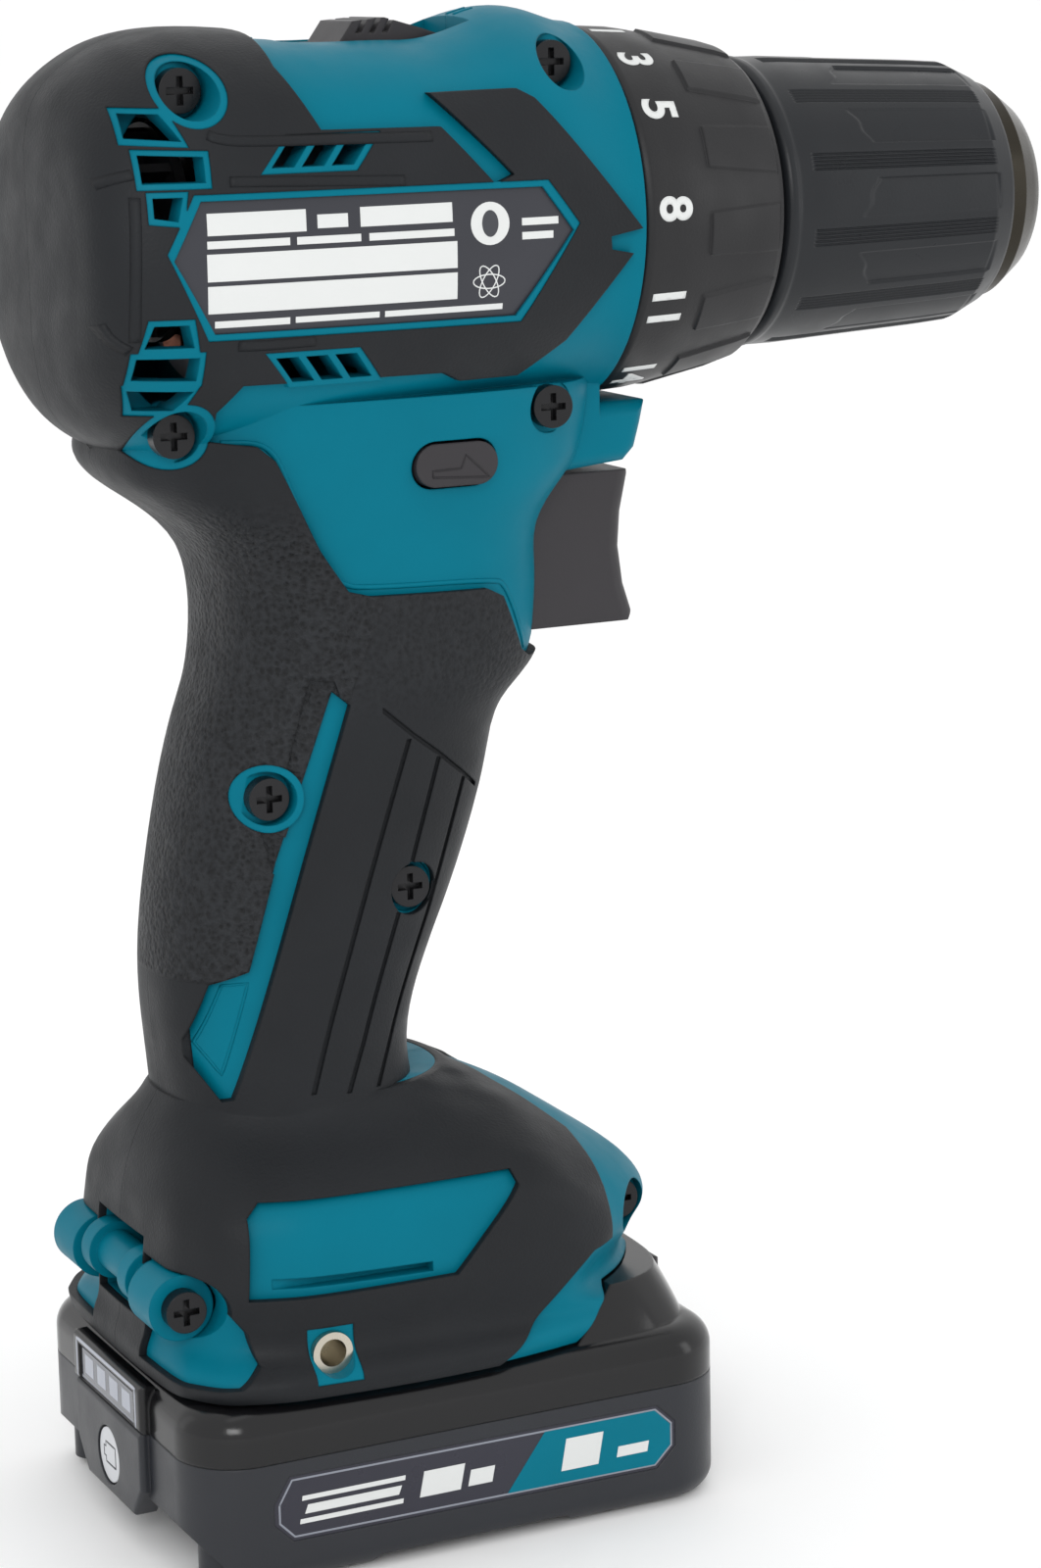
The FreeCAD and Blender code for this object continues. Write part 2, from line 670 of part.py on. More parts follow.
def rotor_core():
    slot = block(-55.5, -34.5, -3.2, 3.2, AXIS_Z + 9.4, AXIS_Z + 10.8)
    magnet_slots = [spun(slot, 45 + 90 * k) for k in range(4)]
    return disc(-55.0, -35.0, 12.2).cut([disc(-56, -34, SHAFT_RADIUS)] + magnet_slots)


def cooling_fan():
    plate = disc(-60.4, -59.0, 15.0)
    hub = disc(-67.2, -59.0, 4.6)
    blades = []
    for k in range(9):
        blade = block(-66.6, -60.0, -0.6, 0.6, AXIS_Z + 4.2, AXIS_Z + 14.6)
        blade.rotate(Vector(0, 0, AXIS_Z + 9), Vector(1, 0, 0), 24)
        blades.append(spun(blade, 40 * k))
    return joined([plate, hub] + blades).cut(disc(-70, -55, SHAFT_RADIUS))


RACE_SHARE = 0.34  # each race's share of a bearing's radial thickness


def ball_bearing(x0, x1, outer, inner):
    """Outer race, inner race and balls, as one bearing."""
    wall = (outer - inner) * RACE_SHARE
    middle = (outer + inner) / 2
    races = [tube(x0, x1, outer, outer - wall), tube(x0, x1, inner + wall, inner)]
    shields = tube(x0 + 0.4, x1 - 0.4, outer - wall, inner + wall)
    groove = [spun(Part.makeSphere(wall * 0.9, Vector((x0 + x1) / 2, 0, AXIS_Z + middle)), 45 * k)
              for k in range(8)]
    return joined(races + [shields] + groove)


def stator_core():
    ring = tube(-54.0, -36.0, STATOR_RADIUS, 17.6)
    teeth = []
    for k in range(6):
        stem = block(-54.0, -36.0, -2.2, 2.2, AXIS_Z + 13.4, AXIS_Z + 18.2)
        sector = block(-54, -36, -4.6, 4.6, AXIS_Z + 10, AXIS_Z + 15)
        shoe = tube(-54.0, -36.0, 13.8, 12.6).common(sector)
        teeth.append(spun(stem.fuse(shoe), 60 * k))
    return joined([ring] + teeth)


def stator_windings():
    coils = []
    for k in range(6):
        coil = block(-57.0, -33.0, -4.4, 4.4, AXIS_Z + 14.0, AXIS_Z + 16.9)
        coil = rounded(coil, 1.2, lambda edge: edge.BoundBox.ZLength > 2.5)
        window = block(-54.0, -36.0, -2.2, 2.2, AXIS_Z + 13.0, AXIS_Z + 18.0)
        coils.append(spun(coil.cut(window), 60 * k))
    return coils


def gear_case():
    can = turned(((-31.5, 19.55), (-0.4, 19.55), (0.5, 18.6), (0.5, 13.4), (20.4, 13.4), (20.4, 11.0),
                  (14.4, 11.0), (14.4, 8.4), (4.6, 8.4), (4.6, 8.0), (-2.0, 8.0), (-2.0, 17.8),
                  (-27.8, 17.8), (-27.8, 6.5), (-31.5, 6.5)))
    slot = block(-15.6, -7.9, -1.5, 1.5, 200, 210)
    pockets = [disc(-3, 1, 1.85, *ball_spot(k)) for k in range(6)]
    return can.cut([slot] + pockets)


def ball_spot(k):
    turn = math.radians(60 * k + 30)
    return 15.6 * math.cos(turn), AXIS_Z + 15.6 * math.sin(turn)


def clutch_balls():
    return [Part.makeSphere(1.8, Vector(-0.9, *ball_spot(k))) for k in range(6)]


def clutch_cam_ring():
    ring = tube(-4.9, -3.2, 17.7, 13.0)
    bumps = [disc(-3.3, -2.8, 1.4, *ball_spot(k + 0.5)) for k in range(6)]
    return joined([ring] + bumps)


def clutch_spring():
    return helix_coil(Vector(3.6, 0, AXIS_Z), Vector(1, 0, 0), 9.0, 16.6, 0.9, 3)


def clutch_ring():
    """The adjusting ring: rear band for the numbers, grip band, and the front wall."""
    profile = ((3.9, 25.9), (5.0, 26.3), (11.0, 25.9), (24.5, 23.6), (27.4, 22.4), (28.5, 21.4),
               (28.5, 14.2), (26.0, 14.2), (26.0, 19.2), (16.8, 20.6), (3.9, 21.6))
    ring = turned(profile)
    scoops = []
    for k in range(15):
        scoop = side_prism(((13.0, 213.5), (26.0, 212.0), (26.0, 209.9), (14.2, 211.2)), -2.6, 2.6)
        scoops.append(spun(scoop, 12 + 24 * k))
    return ring.cut(scoops)


def clutch_nut():
    return turned(((13.6, 20.5), (16.6, 20.4), (16.6, 13.6), (13.6, 13.6)))


def spindle():
    plate = disc(-5.6, -3.2, 12.2)
    shaft = turned(((-5.6, 0), (-5.6, 7.9), (4.4, 7.9), (4.4, 4.98), (29.4, 4.98), (29.4, 4.7),
                    (43.8, 4.7), (43.8, 0)))
    hole = disc(33.8, 44, 2.0)
    return joined([plate, shaft] + planet_pins(-12.4, -5.4)).cut(hole)


# ---- Chuck ----

def jaw_axis_shape(radius, x_front, length):
    """A slanted cylinder on the jaw's line; x_front is where its front end lies on the line."""
    tilt = math.radians(JAW_TILT)
    front_offset = JAW_BORE + 1.2 - (x_front - 58.0) * math.tan(tilt)
    back = Vector(-math.cos(tilt), 0, math.sin(tilt))
    start = Vector(x_front, 0, AXIS_Z + front_offset)
    return Part.makeCylinder(radius, length, start, back)


def jaw():
    """One jaw, fully open: a slanted pin with a wedge face towards the middle."""
    pin = jaw_axis_shape(JAW_RADIUS, 60.0, 26.0).common(block(34, 58.0, -10, 10, AXIS_Z, AXIS_Z + 30))
    apex = AXIS_Z + JAW_BORE - 0.45
    reach = 20.0
    slope = math.tan(math.radians(57))
    wedge = Part.Face(Part.makePolygon([
        Vector(30, -reach * slope, apex + reach), Vector(30, -0.25 * slope, apex + 0.25),
        Vector(30, 0.25 * slope, apex + 0.25), Vector(30, reach * slope, apex + reach),
        Vector(30, -reach * slope, apex + reach)])).extrude(Vector(40, 0, 0))
    return pin.common(wedge)


def jaw_bores():
    return [spun(jaw_axis_shape(JAW_RADIUS + 0.15, 84.0, 54.0), 120 * k) for k in range(3)]


def chuck_body():
    """The steel body with its front nose; the jaws run in its slanted bores."""
    body = turned(((29.6, 12.5), (30.6, 14.6), (43.9, 14.6), (43.9, 13.9), (50.5, 13.9), (50.5, 14.6),
                   (66.0, 14.6), (69.9, 12.8), (70.4, 16.3), (72.6, 16.2), (76.4, 13.5),
                   (NOSE_TIP, 12.8), (NOSE_TIP, JAW_BORE), (MOUTH_END, JAW_BORE), (MOUTH_END, RELIEF_BORE),
                   (BORE_END, RELIEF_BORE), (BORE_END, 4.6), (46.0, 4.6), (46.0, 2.1), (44.0, 2.1),
                   (44.0, 4.75), (29.6, 4.75)))
    for bore in jaw_bores():
        body = body.cut(bore)
    return body


def chuck_sleeve():
    return turned(((29.3, 20.2), (30.2, 21.2), (36, 21.0), (60, 19.8), (65.6, 19.4), (69.6, 17.6),
                   (70.1, 16.8), (70.1, 15.0), (66.0, 15.0), (64.0, 15.9), (33.0, 15.9), (33.0, 14.9),
                   (29.3, 14.9)))


def chuck_nut():
    return tube(44.2, 50.2, 15.9, 14.0)


def chuck_screw():
    head = disc(46.0, 48.8, 4.2)
    slot = block(47.4, 49, -3.0, 3.0, AXIS_Z - 0.5, AXIS_Z + 0.5)
    return head.fuse(disc(34.0, 46.2, 2.0)).cut([slot, spun(slot, 90)])


# ---- Electronics in the handle and foot ----

def controller_board():
    board = block(-56.0, -14.0, -17.0, 17.0, 36.4, 38.0)
    tray = [block(-50.0, -40.0, -9.0, 9.0, 38.0, 42.5), peg(-30.0, 8.0, 38.0, 46.0, 4.0),
            peg(-30.0, -8.0, 38.0, 46.0, 4.0), block(-24.0, -17.0, -5.0, 5.0, 38.0, 40.0)]
    return joined([board] + tray)


def terminal_block():
    """Holds the blades that enter the battery's rail from behind."""
    body = block(-60.9, -57.2, -14.0, 14.0, 29.3, CHANNEL_ROOF - 0.1)
    blades = [block(-57.4, -51.0, y - 0.4, y + 0.4, 29.9, 32.0) for y in (-9.0, -3.0, 3.0, 9.0)]
    return joined([body] + blades)


def headlight_board():
    return joined([block(5.2, 5.9, -5.2, 5.2, 152.6, 158.4), block(5.9, 6.9, -1.6, 1.6, 154.0, 157.0)])


# ---- Battery ----

def battery_plan(inset, z0, z1):
    half = BATTERY_HALF - inset
    body = block(BATTERY_REAR + inset, BATTERY_FRONT - inset, -half, half, z0, z1)
    return rounded(body, BATTERY_CORNER - inset, upright)


def battery_case():
    """The lower case, with room for the three cells and feet at its ends."""
    case = rounded(battery_plan(0, 0, BATTERY_SEAM), 3.6, at_height(0))
    lift = side_prism(((-47.5, -1), (-44.5, 1.7), (-15.5, 1.7), (-12.5, -1)), -50, 50)
    heel = side_prism(((-76, -1), (-76, 9.2), (-72.0, 8.4), (-64.6, 0), (-64.6, -1)), -50, 50)
    heel_inside = side_prism(((-76, 0), (-76, 11.8), (-69.6, 9.4), (-63.4, 2.4), (-63.4, 0)), -50, 50)
    room = battery_plan(2.4, 2.2, BATTERY_SEAM + 1).cut(heel_inside)
    wells = [side_plate(BATTERY_LABEL, side, 0.5) for side in (-1, 1)]
    case = case.cut([lift, heel, room] + wells).fuse(case_bosses() + [button_frame()])
    wells_below = [peg(x, y, -1, 2.6, 2.2) for x, y in CASE_SCREWS]
    return case.cut([latch_room(), button_bore()] + case_screws() + wells_below)


CASE_SCREWS = [(x, y) for x in (-66.7, 5.1) for y in (-25.6, 25.6)]
BATTERY_LABEL = ((-61.0, 12.4), (-58.6, 16.2), (-0.8, 15.9), (2.2, 13.0), (2.2, 9.2), (-0.8, 6.2),
                 (-58.2, 6.6), (-61.0, 9.4))


def side_plate(outline, side, depth):
    """A plate let into the battery's side to the given depth."""
    outer, inner = side * (BATTERY_HALF + 0.01), side * (BATTERY_HALF - depth)
    return side_prism(outline, min(outer, inner), max(outer, inner))


def battery_label(side):
    """The film in the well on one side, a little below the case's face."""
    outer, inner = side * (BATTERY_HALF - 0.1), side * (BATTERY_HALF - 0.5)
    return side_prism(BATTERY_LABEL, min(outer, inner), max(outer, inner))


def battery_cover():
    """The upper cover: sloped shoulders, the rail, and the rise in front of the foot."""
    slab = battery_plan(0, BATTERY_SEAM + 0.1, FOOT_BASE - RUN)
    slab = rounded(slab, 4.2, at_height(FOOT_BASE - RUN))
    rise_outline = ((-12.0, 21), (-11.8, FOOT_BASE - RUN), (-4.3, CHANNEL_ROOF - RUN),
                    (14, CHANNEL_ROOF - RUN), (14, 21))
    rise = side_prism(rise_outline, -33, 33).common(front_hump())
    neck = block(-56.6, 0, -16.7, 16.7, 25, 29.2)
    head = block(-56.6, 0, -CHANNEL_HALF + RUN, CHANNEL_HALF - RUN, 29.0, CHANNEL_ROOF - 0.6)
    gauge = block(-73.4, -71.0, -14.0, 14.0, BATTERY_SEAM + 0.1, 25.6)
    gauge = rounded(gauge, 0.9, lambda edge: edge.BoundBox.XMax < -73.3)
    window_frame = block(-74, -72.9, -11.3, 11.3, 18.9, 24.4)
    outer = joined([slab, rise, neck, head, gauge])
    room = battery_plan(2.6, BATTERY_SEAM - 1, 23.9)
    slots = [block(-60, -50.6, y - 0.8, y + 0.8, 29.5, 40) for y in (-9.0, -3.0, 3.0, 9.0)]
    return outer.cut([room, latch_room(), window_frame, gauge_window()] + slots + [button_bore()])


# Rise in front of the foot: z, rear, front, half width, squareness
HUMP_SECTIONS = (
    (20.6, -40.0, 11.9, 32.8, 5.0),
    (27.0, -40.0, 10.4, 29.6, 4.4),
    (CHANNEL_ROOF, -40.0, 8.2, 25.6, 4.0),
)


def front_hump():
    """The drafted front of the cover, narrowing from the seam up to the foot's underside."""
    wires = []
    for z, rear, front, half, squareness in HUMP_SECTIONS:
        middle = (rear + front) / 2
        wires.append(section(
            (front - rear) / 2, half, squareness,
            lambda a, b, z=z, middle=middle: Vector(middle + a, b, z)))
    return Part.makeLoft(wires, True)


def gauge_window():
    pane = block(-73.1, -71.4, -10.8, 10.8, 19.4, 23.9)
    return rounded(pane, 0.6, lambda edge: edge.BoundBox.XLength > 1.6)


def button_bore():
    return disc(-75.0, -69.5, 4.4, 0, BUTTON_Z).fuse(block(-72.0, -69.5, -5.0, 5.0, 5.2, 16.4))


def gauge_button():
    return disc(-73.2, -69.8, 4.1, 0, BUTTON_Z)


def button_frame():
    """The raised surround of the check button, on the lower case."""
    outline = ((-13.4, BATTERY_SEAM), (-13.4, 9.6), (-9.4, 4.8),
               (9.4, 4.8), (13.4, 9.6), (13.4, BATTERY_SEAM))
    face = Part.Face(Part.makePolygon([Vector(-73.4, y, z) for y, z in outline + outline[:1]]))
    frame = face.extrude(Vector(3.6, 0, 0))
    frame = rounded(frame, 0.8, lambda edge: edge.BoundBox.XMax < -73.3)
    return frame.cut(disc(-76, -69.5, 4.4, 0, BUTTON_Z))


def latch_room():
    return block(7.2, 13.0, -11.3, 11.3, 12.7, 31.6)


def release_latch():
    """The button at the front of the pack; its tooth stands in the foot's keeper."""
    pad = block(7.6, 11.7, -11.0, 11.0, 17.6, 30.2)
    pad = rounded(pad, 1.0, lambda edge: edge.BoundBox.XMin > 11.6)
    return pad.cut([block(10.9, 12, -8.0, 8.0, z, z + 0.8) for z in (20.0, 22.2, 24.4)])


def latch_spring():
    return helix_coil(Vector(9.6, 0, 13.1), Vector(0, 0, 1), 4.0, 1.6, 0.25, 4)


def cells():
    return [disc(-63.4, 1.4, 9.15, y, 11.6) for y in (-19.0, 0.0, 19.0)]


def cell_links():
    front = block(1.5, 1.8, -24.0, 5.0, 7.6, 15.6)
    rear = block(-63.8, -63.5, -5.0, 24.0, 7.6, 15.6)
    return [front, rear]


def battery_board():
    return block(-60.0, -8.0, -14.0, 14.0, 21.4, 22.8)


def battery_contacts():
    contacts = []
    for y in (-9.0, -3.0, 3.0, 9.0):
        contacts.append(block(-50.4, -44.0, y - 0.7, y + 0.7, 22.9, 23.8))
    return contacts


def case_screws():
    """Screws driven up through the floor of the case."""
    return [peg(x, y, 0.9, 17.0, 1.2).fuse(peg(x, y, 0.9, 2.6, 2.2)) for x, y in CASE_SCREWS]


def case_bosses():
    return [peg(x, y, 1.0, BATTERY_SEAM, 2.9) for x, y in CASE_SCREWS]


# ---- Write every node ----

def save(name, shape):
    if isinstance(shape, list):
        shape = Part.makeCompound(shape)
    shape.exportStep("parts/" + name + ".step")
    solids = shape.Solids
    print(name, len(solids), shape.isValid(), round(sum(solid.Volume for solid in solids), 1))


def save_housing():
    form = outer_form(0.0).fuse(chin())
    raised = outer_form(SKIN - 0.15).common(joined(hard_windows())).cut(plate_space())
    shell = shell_right(form, raised)
    screws = strap_screws()
    bores = [post(x, z, -1, SCREW_END, SCREW_SHANK) for x, z, _, _ in SCREWS]
    bars = [strap_bar()] + screws
    save("housing_right", carved(shell, screw_wells() + bars))
    save("housing_left", carved(other_side(shell), bores + bars))
    rubber = overmould_right(form, outer_form(SKIN))
    save("grip_right", carved(rubber, bars))
    save("grip_left", carved(other_side(rubber), bars))
    plate = rating_plate(form)
    save("rating_plates", [plate, other_side(plate)])
    save("housing_screws", [screw(x, z, seat, SCREW_END) for x, z, seat, _ in SCREWS] + screws)
    save("strap_bar", carved(strap_bar(), screws))


def save_root_parts():
    save("clip_inserts", [clip_insert(-1), clip_insert(1)])
    save("headlight_lens", lens_shape())
    save("headlight_board", headlight_board())
    save("stator_core", stator_core())
    save("stator_windings", stator_windings())
    save("motor_sensor_board", tube(-32.7, -31.8, 19.0, 8.0))
    save("motor_bearings", [ball_bearing(-72.9, -68.9, 6.5, 2.5), ball_bearing(-31.5, -27.6, 6.5, 2.5)])
    save("gear_case", gear_case())
    save("first_ring_gear", ring_gear(-27.2, -21.5, 17.8))
    save("clutch_cam_ring", clutch_cam_ring())
    save("clutch_balls", clutch_balls())
    save("clutch_plate", tube(1.0, 2.4, 18.2, 13.5))
    save("clutch_spring", clutch_spring())
    save("spindle_bearing", ball_bearing(14.5, 20.3, 11.0, 5.05))
    save("switch_body", switch_body())
    save("controller_board", controller_board())
    save("terminal_block", terminal_block())


def clip_insert(side):
    body = side_post(INSERT_X, INSERT_Z, side, 22.5, 30.6, INSERT_RADIUS)
    return body.cut(side_post(INSERT_X, INSERT_Z, side, 23.1, 32, INSERT_BORE))


def save_drive():
    save("rotor_shaft", rotor_shaft())
    save("rotor_core", rotor_core())
    save("cooling_fan", cooling_fan())
    save("first_carrier", first_carrier())
    for number, angle in enumerate(PLANET_ANGLES, 1):
        save("first_planet_%d" % number, planet(angle, -27.0, -21.8))
        save("second_planet_%d" % number, planet(angle, -12.0, -6.2))
    groove = tube(-10.6, -7.9, 19, 15.7)
    save("shifting_ring_gear", ring_gear(-13.0, -5.4, 17.4).cut(groove))
    save("spindle", spindle())


def save_chuck():
    save("chuck_body", chuck_body())
    save("chuck_screw", chuck_screw())
    save("chuck_sleeve", chuck_sleeve())
    save("chuck_nut", chuck_nut())
    for number in range(3):
        save("jaw_%d" % (number + 1), spun(jaw(), 120 * number))
    save("clutch_ring", clutch_ring())
    save("clutch_nut", clutch_nut())


def save_controls():
    save("trigger", trigger())
    save("trigger_spring", trigger_spring())
    save("direction_lever", direction_lever())
    save("speed_selector", speed_selector())


def save_battery():
    save("battery_case", battery_case())
    save("battery_cover", battery_cover())
    save("battery_labels", [battery_label(-1), battery_label(1)])
    save("gauge_window", gauge_window())
    save("gauge_button", gauge_button())
    save("battery_cells", cells())
    save("battery_board", battery_board())
    save("battery_contacts", battery_contacts() + cell_links())
    save("case_screws", case_screws())
    save("release_latch", release_latch())
    save("latch_spring", latch_spring())


os.makedirs("parts", exist_ok=True)
save_housing()
save_root_parts()
save_drive()
save_chuck()
save_controls()
save_battery()
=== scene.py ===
"""Looks of the cordless drill: camera, studio light, materials and the fine detail of its mouldings."""

import json
import math

import bmesh
import bpy
from mathutils import Matrix, Vector
from mathutils.bvhtree import BVHTree


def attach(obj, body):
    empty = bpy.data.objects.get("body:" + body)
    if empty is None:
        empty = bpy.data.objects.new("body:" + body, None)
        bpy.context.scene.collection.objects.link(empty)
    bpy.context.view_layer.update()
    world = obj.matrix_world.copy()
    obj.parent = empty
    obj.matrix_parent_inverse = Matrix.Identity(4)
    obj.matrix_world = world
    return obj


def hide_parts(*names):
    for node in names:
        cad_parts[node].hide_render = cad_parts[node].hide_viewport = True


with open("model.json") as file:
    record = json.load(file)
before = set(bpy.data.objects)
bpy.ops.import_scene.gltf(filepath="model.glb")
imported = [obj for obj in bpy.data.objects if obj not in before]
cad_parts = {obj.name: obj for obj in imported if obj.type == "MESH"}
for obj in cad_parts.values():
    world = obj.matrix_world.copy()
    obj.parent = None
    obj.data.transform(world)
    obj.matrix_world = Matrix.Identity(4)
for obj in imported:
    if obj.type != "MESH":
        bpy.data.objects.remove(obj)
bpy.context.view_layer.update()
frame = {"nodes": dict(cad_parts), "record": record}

MM = 0.001
AXIS_Z = 186.5  # height of the spindle, in millimetres like every length below

# ---- Camera and light ----

CAMERA_PLACE = (-251.22, -510.24, 224.29)
CAMERA_RIGHT = (0.8984, -0.4387, -0.0200)
CAMERA_UP = (0.1096, 0.1798, 0.9776)
CAMERA_LENS = 90.0

SKY_STRENGTH = 1.04
LIGHT_TARGET = (0.0, 0.0, 0.12)  # in metres, like the lights' places and sizes
SOFTBOXES = (  # name, place, size and power in watts
    ("key_light", (-0.60, -1.05, 0.70), (0.42, 0.42), 3.8),
    ("top_light", (0.05, -0.10, 1.10), (1.0, 0.2), 0.35),
    ("side_light", (0.95, -0.75, 0.35), (0.3, 0.8), 1.3),
    ("rim_light", (-0.90, 0.60, 0.40), (0.3, 0.8), 0.3),
)

FLOOR_HALF = 15.0  # in metres
FLOOR_DROP = 0.0002  # how far the floor lies under the drill, in metres


def add_camera():
    """The main view, from the right and a little behind."""
    data = bpy.data.cameras.new("camera")
    data.lens = CAMERA_LENS
    data.sensor_width = 36.0
    data.clip_start = 0.02
    data.clip_end = 60.0
    camera = bpy.data.objects.new("camera", data)
    right = Vector(CAMERA_RIGHT).normalized()
    back = right.cross(Vector(CAMERA_UP)).normalized()
    up = back.cross(right)
    turn = Matrix((right, up, back)).transposed().to_4x4()
    camera.matrix_world = Matrix.Translation(Vector(CAMERA_PLACE) * MM) @ turn
    bpy.context.scene.collection.objects.link(camera)
    bpy.context.scene.camera = camera


def add_softbox(name, place, target, size, power):
    data = bpy.data.lights.new(name, "AREA")
    data.shape = "RECTANGLE"
    data.size, data.size_y = size
    data.energy = power
    light = bpy.data.objects.new(name, data)
    light.location = place
    aim = Vector(target) - Vector(place)
    light.rotation_mode = "QUATERNION"
    light.rotation_quaternion = aim.to_track_quat("-Z", "Y")
    bpy.context.scene.collection.objects.link(light)


def add_studio():
    """A white surround and four soft lights."""
    scene = bpy.context.scene
    scene.view_settings.view_transform = "Standard"
    world = bpy.data.worlds.new("studio")
    world.use_nodes = True
    sky = world.node_tree.nodes["Background"]
    sky.inputs["Color"].default_value = (1.0, 1.0, 1.0, 1.0)
    sky.inputs["Strength"].default_value = SKY_STRENGTH
    scene.world = world
    for name, place, size, power in SOFTBOXES:
        add_softbox(name, place, LIGHT_TARGET, size, power)


def add_floor():
    mesh = bpy.data.meshes.new("floor")
    turns = ((-1, -1), (1, -1), (1, 1), (-1, 1))
    corners = [(a * FLOOR_HALF, b * FLOOR_HALF, -FLOOR_DROP) for a, b in turns]
    mesh.from_pydata(corners, [], [(0, 1, 2, 3)])
    floor = bpy.data.objects.new("floor", mesh)
    bpy.context.scene.collection.objects.link(floor)
    mesh.materials.append(surface("floor_paper", (252, 252, 252), 0.7, grain=400, depth=0.02, mottle=0.004))


# ---- Materials ----

def linear(channel):
    share = channel / 255.0
    return share / 12.92 if share <= 0.04045 else ((share + 0.055) / 1.055) ** 2.4


def rgba(colour, factor=1.0):
    return tuple(min(1.0, linear(channel) * factor) for channel in colour) + (1.0,)


class Nodes:
    """Short calls for building a material's node tree."""

    def __init__(self, name):
        self.material = bpy.data.materials.new(name)
        self.material.use_nodes = True
        self.tree = self.material.node_tree
        self.shader = self.tree.nodes["Principled BSDF"]
        self.place = self.add("ShaderNodeTexCoord").outputs["Object"]

    def add(self, kind, **settings):
        node = self.tree.nodes.new(kind)
        for key, value in settings.items():
            setattr(node, key, value)
        return node

    def link(self, output, socket):
        self.tree.links.new(output, socket)

    def noise(self, scale, detail=3.0, stretch=None):
        node = self.add("ShaderNodeTexNoise")
        node.inputs["Scale"].default_value = scale
        node.inputs["Detail"].default_value = detail
        place = self.place
        if stretch:
            mapping = self.add("ShaderNodeMapping")
            mapping.inputs["Scale"].default_value = stretch
            self.link(place, mapping.inputs["Vector"])
            place = mapping.outputs["Vector"]
        self.link(place, node.inputs["Vector"])
        return node.outputs["Fac"]

    def spread(self, value, low, high, start=0.3, end=0.7):
        node = self.add("ShaderNodeMapRange")
        node.inputs["From Min"].default_value = start
        node.inputs["From Max"].default_value = end
        node.inputs["To Min"].default_value = low
        node.inputs["To Max"].default_value = high
        self.link(value, node.inputs["Value"])
        return node.outputs["Result"]

    def mix(self, share, first, second):
        node = self.add("ShaderNodeMix", data_type="RGBA")
        self.link(share, node.inputs["Factor"])
        for socket, colour in ((node.inputs[6], first), (node.inputs[7], second)):
            if isinstance(colour, tuple):
                socket.default_value = colour
            else:
                self.link(colour, socket)
        return node.outputs[2]

    def sums(self, operation, first, second):
        node = self.add("ShaderNodeMath", operation=operation)
        for socket, value in zip(node.inputs, (first, second)):
            if isinstance(value, float):
                socket.default_value = value
            else:
                self.link(value, socket)
        return node.outputs["Value"]

    def round_edges(self, radius):
        """Normals that turn the corner over a small radius."""
        node = self.add("ShaderNodeBevel", samples=4)
        node.inputs["Radius"].default_value = radius * MM
        return node.outputs["Normal"]

    def bump(self, height, depth, normal=None):
        node = self.add("ShaderNodeBump")
        node.inputs["Strength"].default_value = 1.0
        node.inputs["Distance"].default_value = depth * MM
        self.link(height, node.inputs["Height"])
        if normal:
            self.link(normal, node.inputs["Normal"])
        return node.outputs["Normal"]


def finish(name, colour, roughness, grain=2500, depth=0.02, mottle=0.06, metallic=0.0, specular=0.5,
           coat=0.0, stretch=None, rough_spread=0.06, edge=0.0):
    """A moulded or machined finish: fine grain, slow colour change, and uneven gloss."""
    nodes = Nodes(name)
    shader = nodes.shader
    shader.inputs["Metallic"].default_value = metallic
    shader.inputs["Specular IOR Level"].default_value = specular
    shader.inputs["Coat Weight"].default_value = coat
    shader.inputs["Coat Roughness"].default_value = 0.12
    slow = nodes.noise(45, 4.0)
    tone = nodes.mix(nodes.spread(slow, 0.0, 1.0), rgba(colour, 1 - mottle), rgba(colour, 1 + mottle))
    nodes.link(tone, shader.inputs["Base Color"])
    patches = nodes.noise(160, 5.0)
    gloss = nodes.spread(patches, roughness - rough_spread, roughness + rough_spread)
    nodes.link(gloss, shader.inputs["Roughness"])
    fine = nodes.noise(grain, 2.0, stretch)
    corner = nodes.round_edges(edge) if edge else None
    nodes.link(nodes.bump(fine, depth, corner), shader.inputs["Normal"])
    return nodes


def surface(*choices, **settings):
    return finish(*choices, **settings).material


GRAIN_LOW, GRAIN_HIGH = 82.4, 152.0  # heights between which the rubber has a leather grain
GRAIN_EDGE = (-40.0, 121.0)  # a place on the slanted line in front of which the rubber is smooth
GRAIN_LEAN = 0.40  # how far that line goes forward for each unit of height
GRAIN_SCALE = 1250.0  # pebbles in a metre
GRAIN_DEPTH = 0.36
# Colours of the coarse grain: painted shade for the low pits and painted light for the raised crests.
GRAIN_PIT_SHADE, GRAIN_CREST_LIGHT = (19, 20, 22), (37, 39, 42)


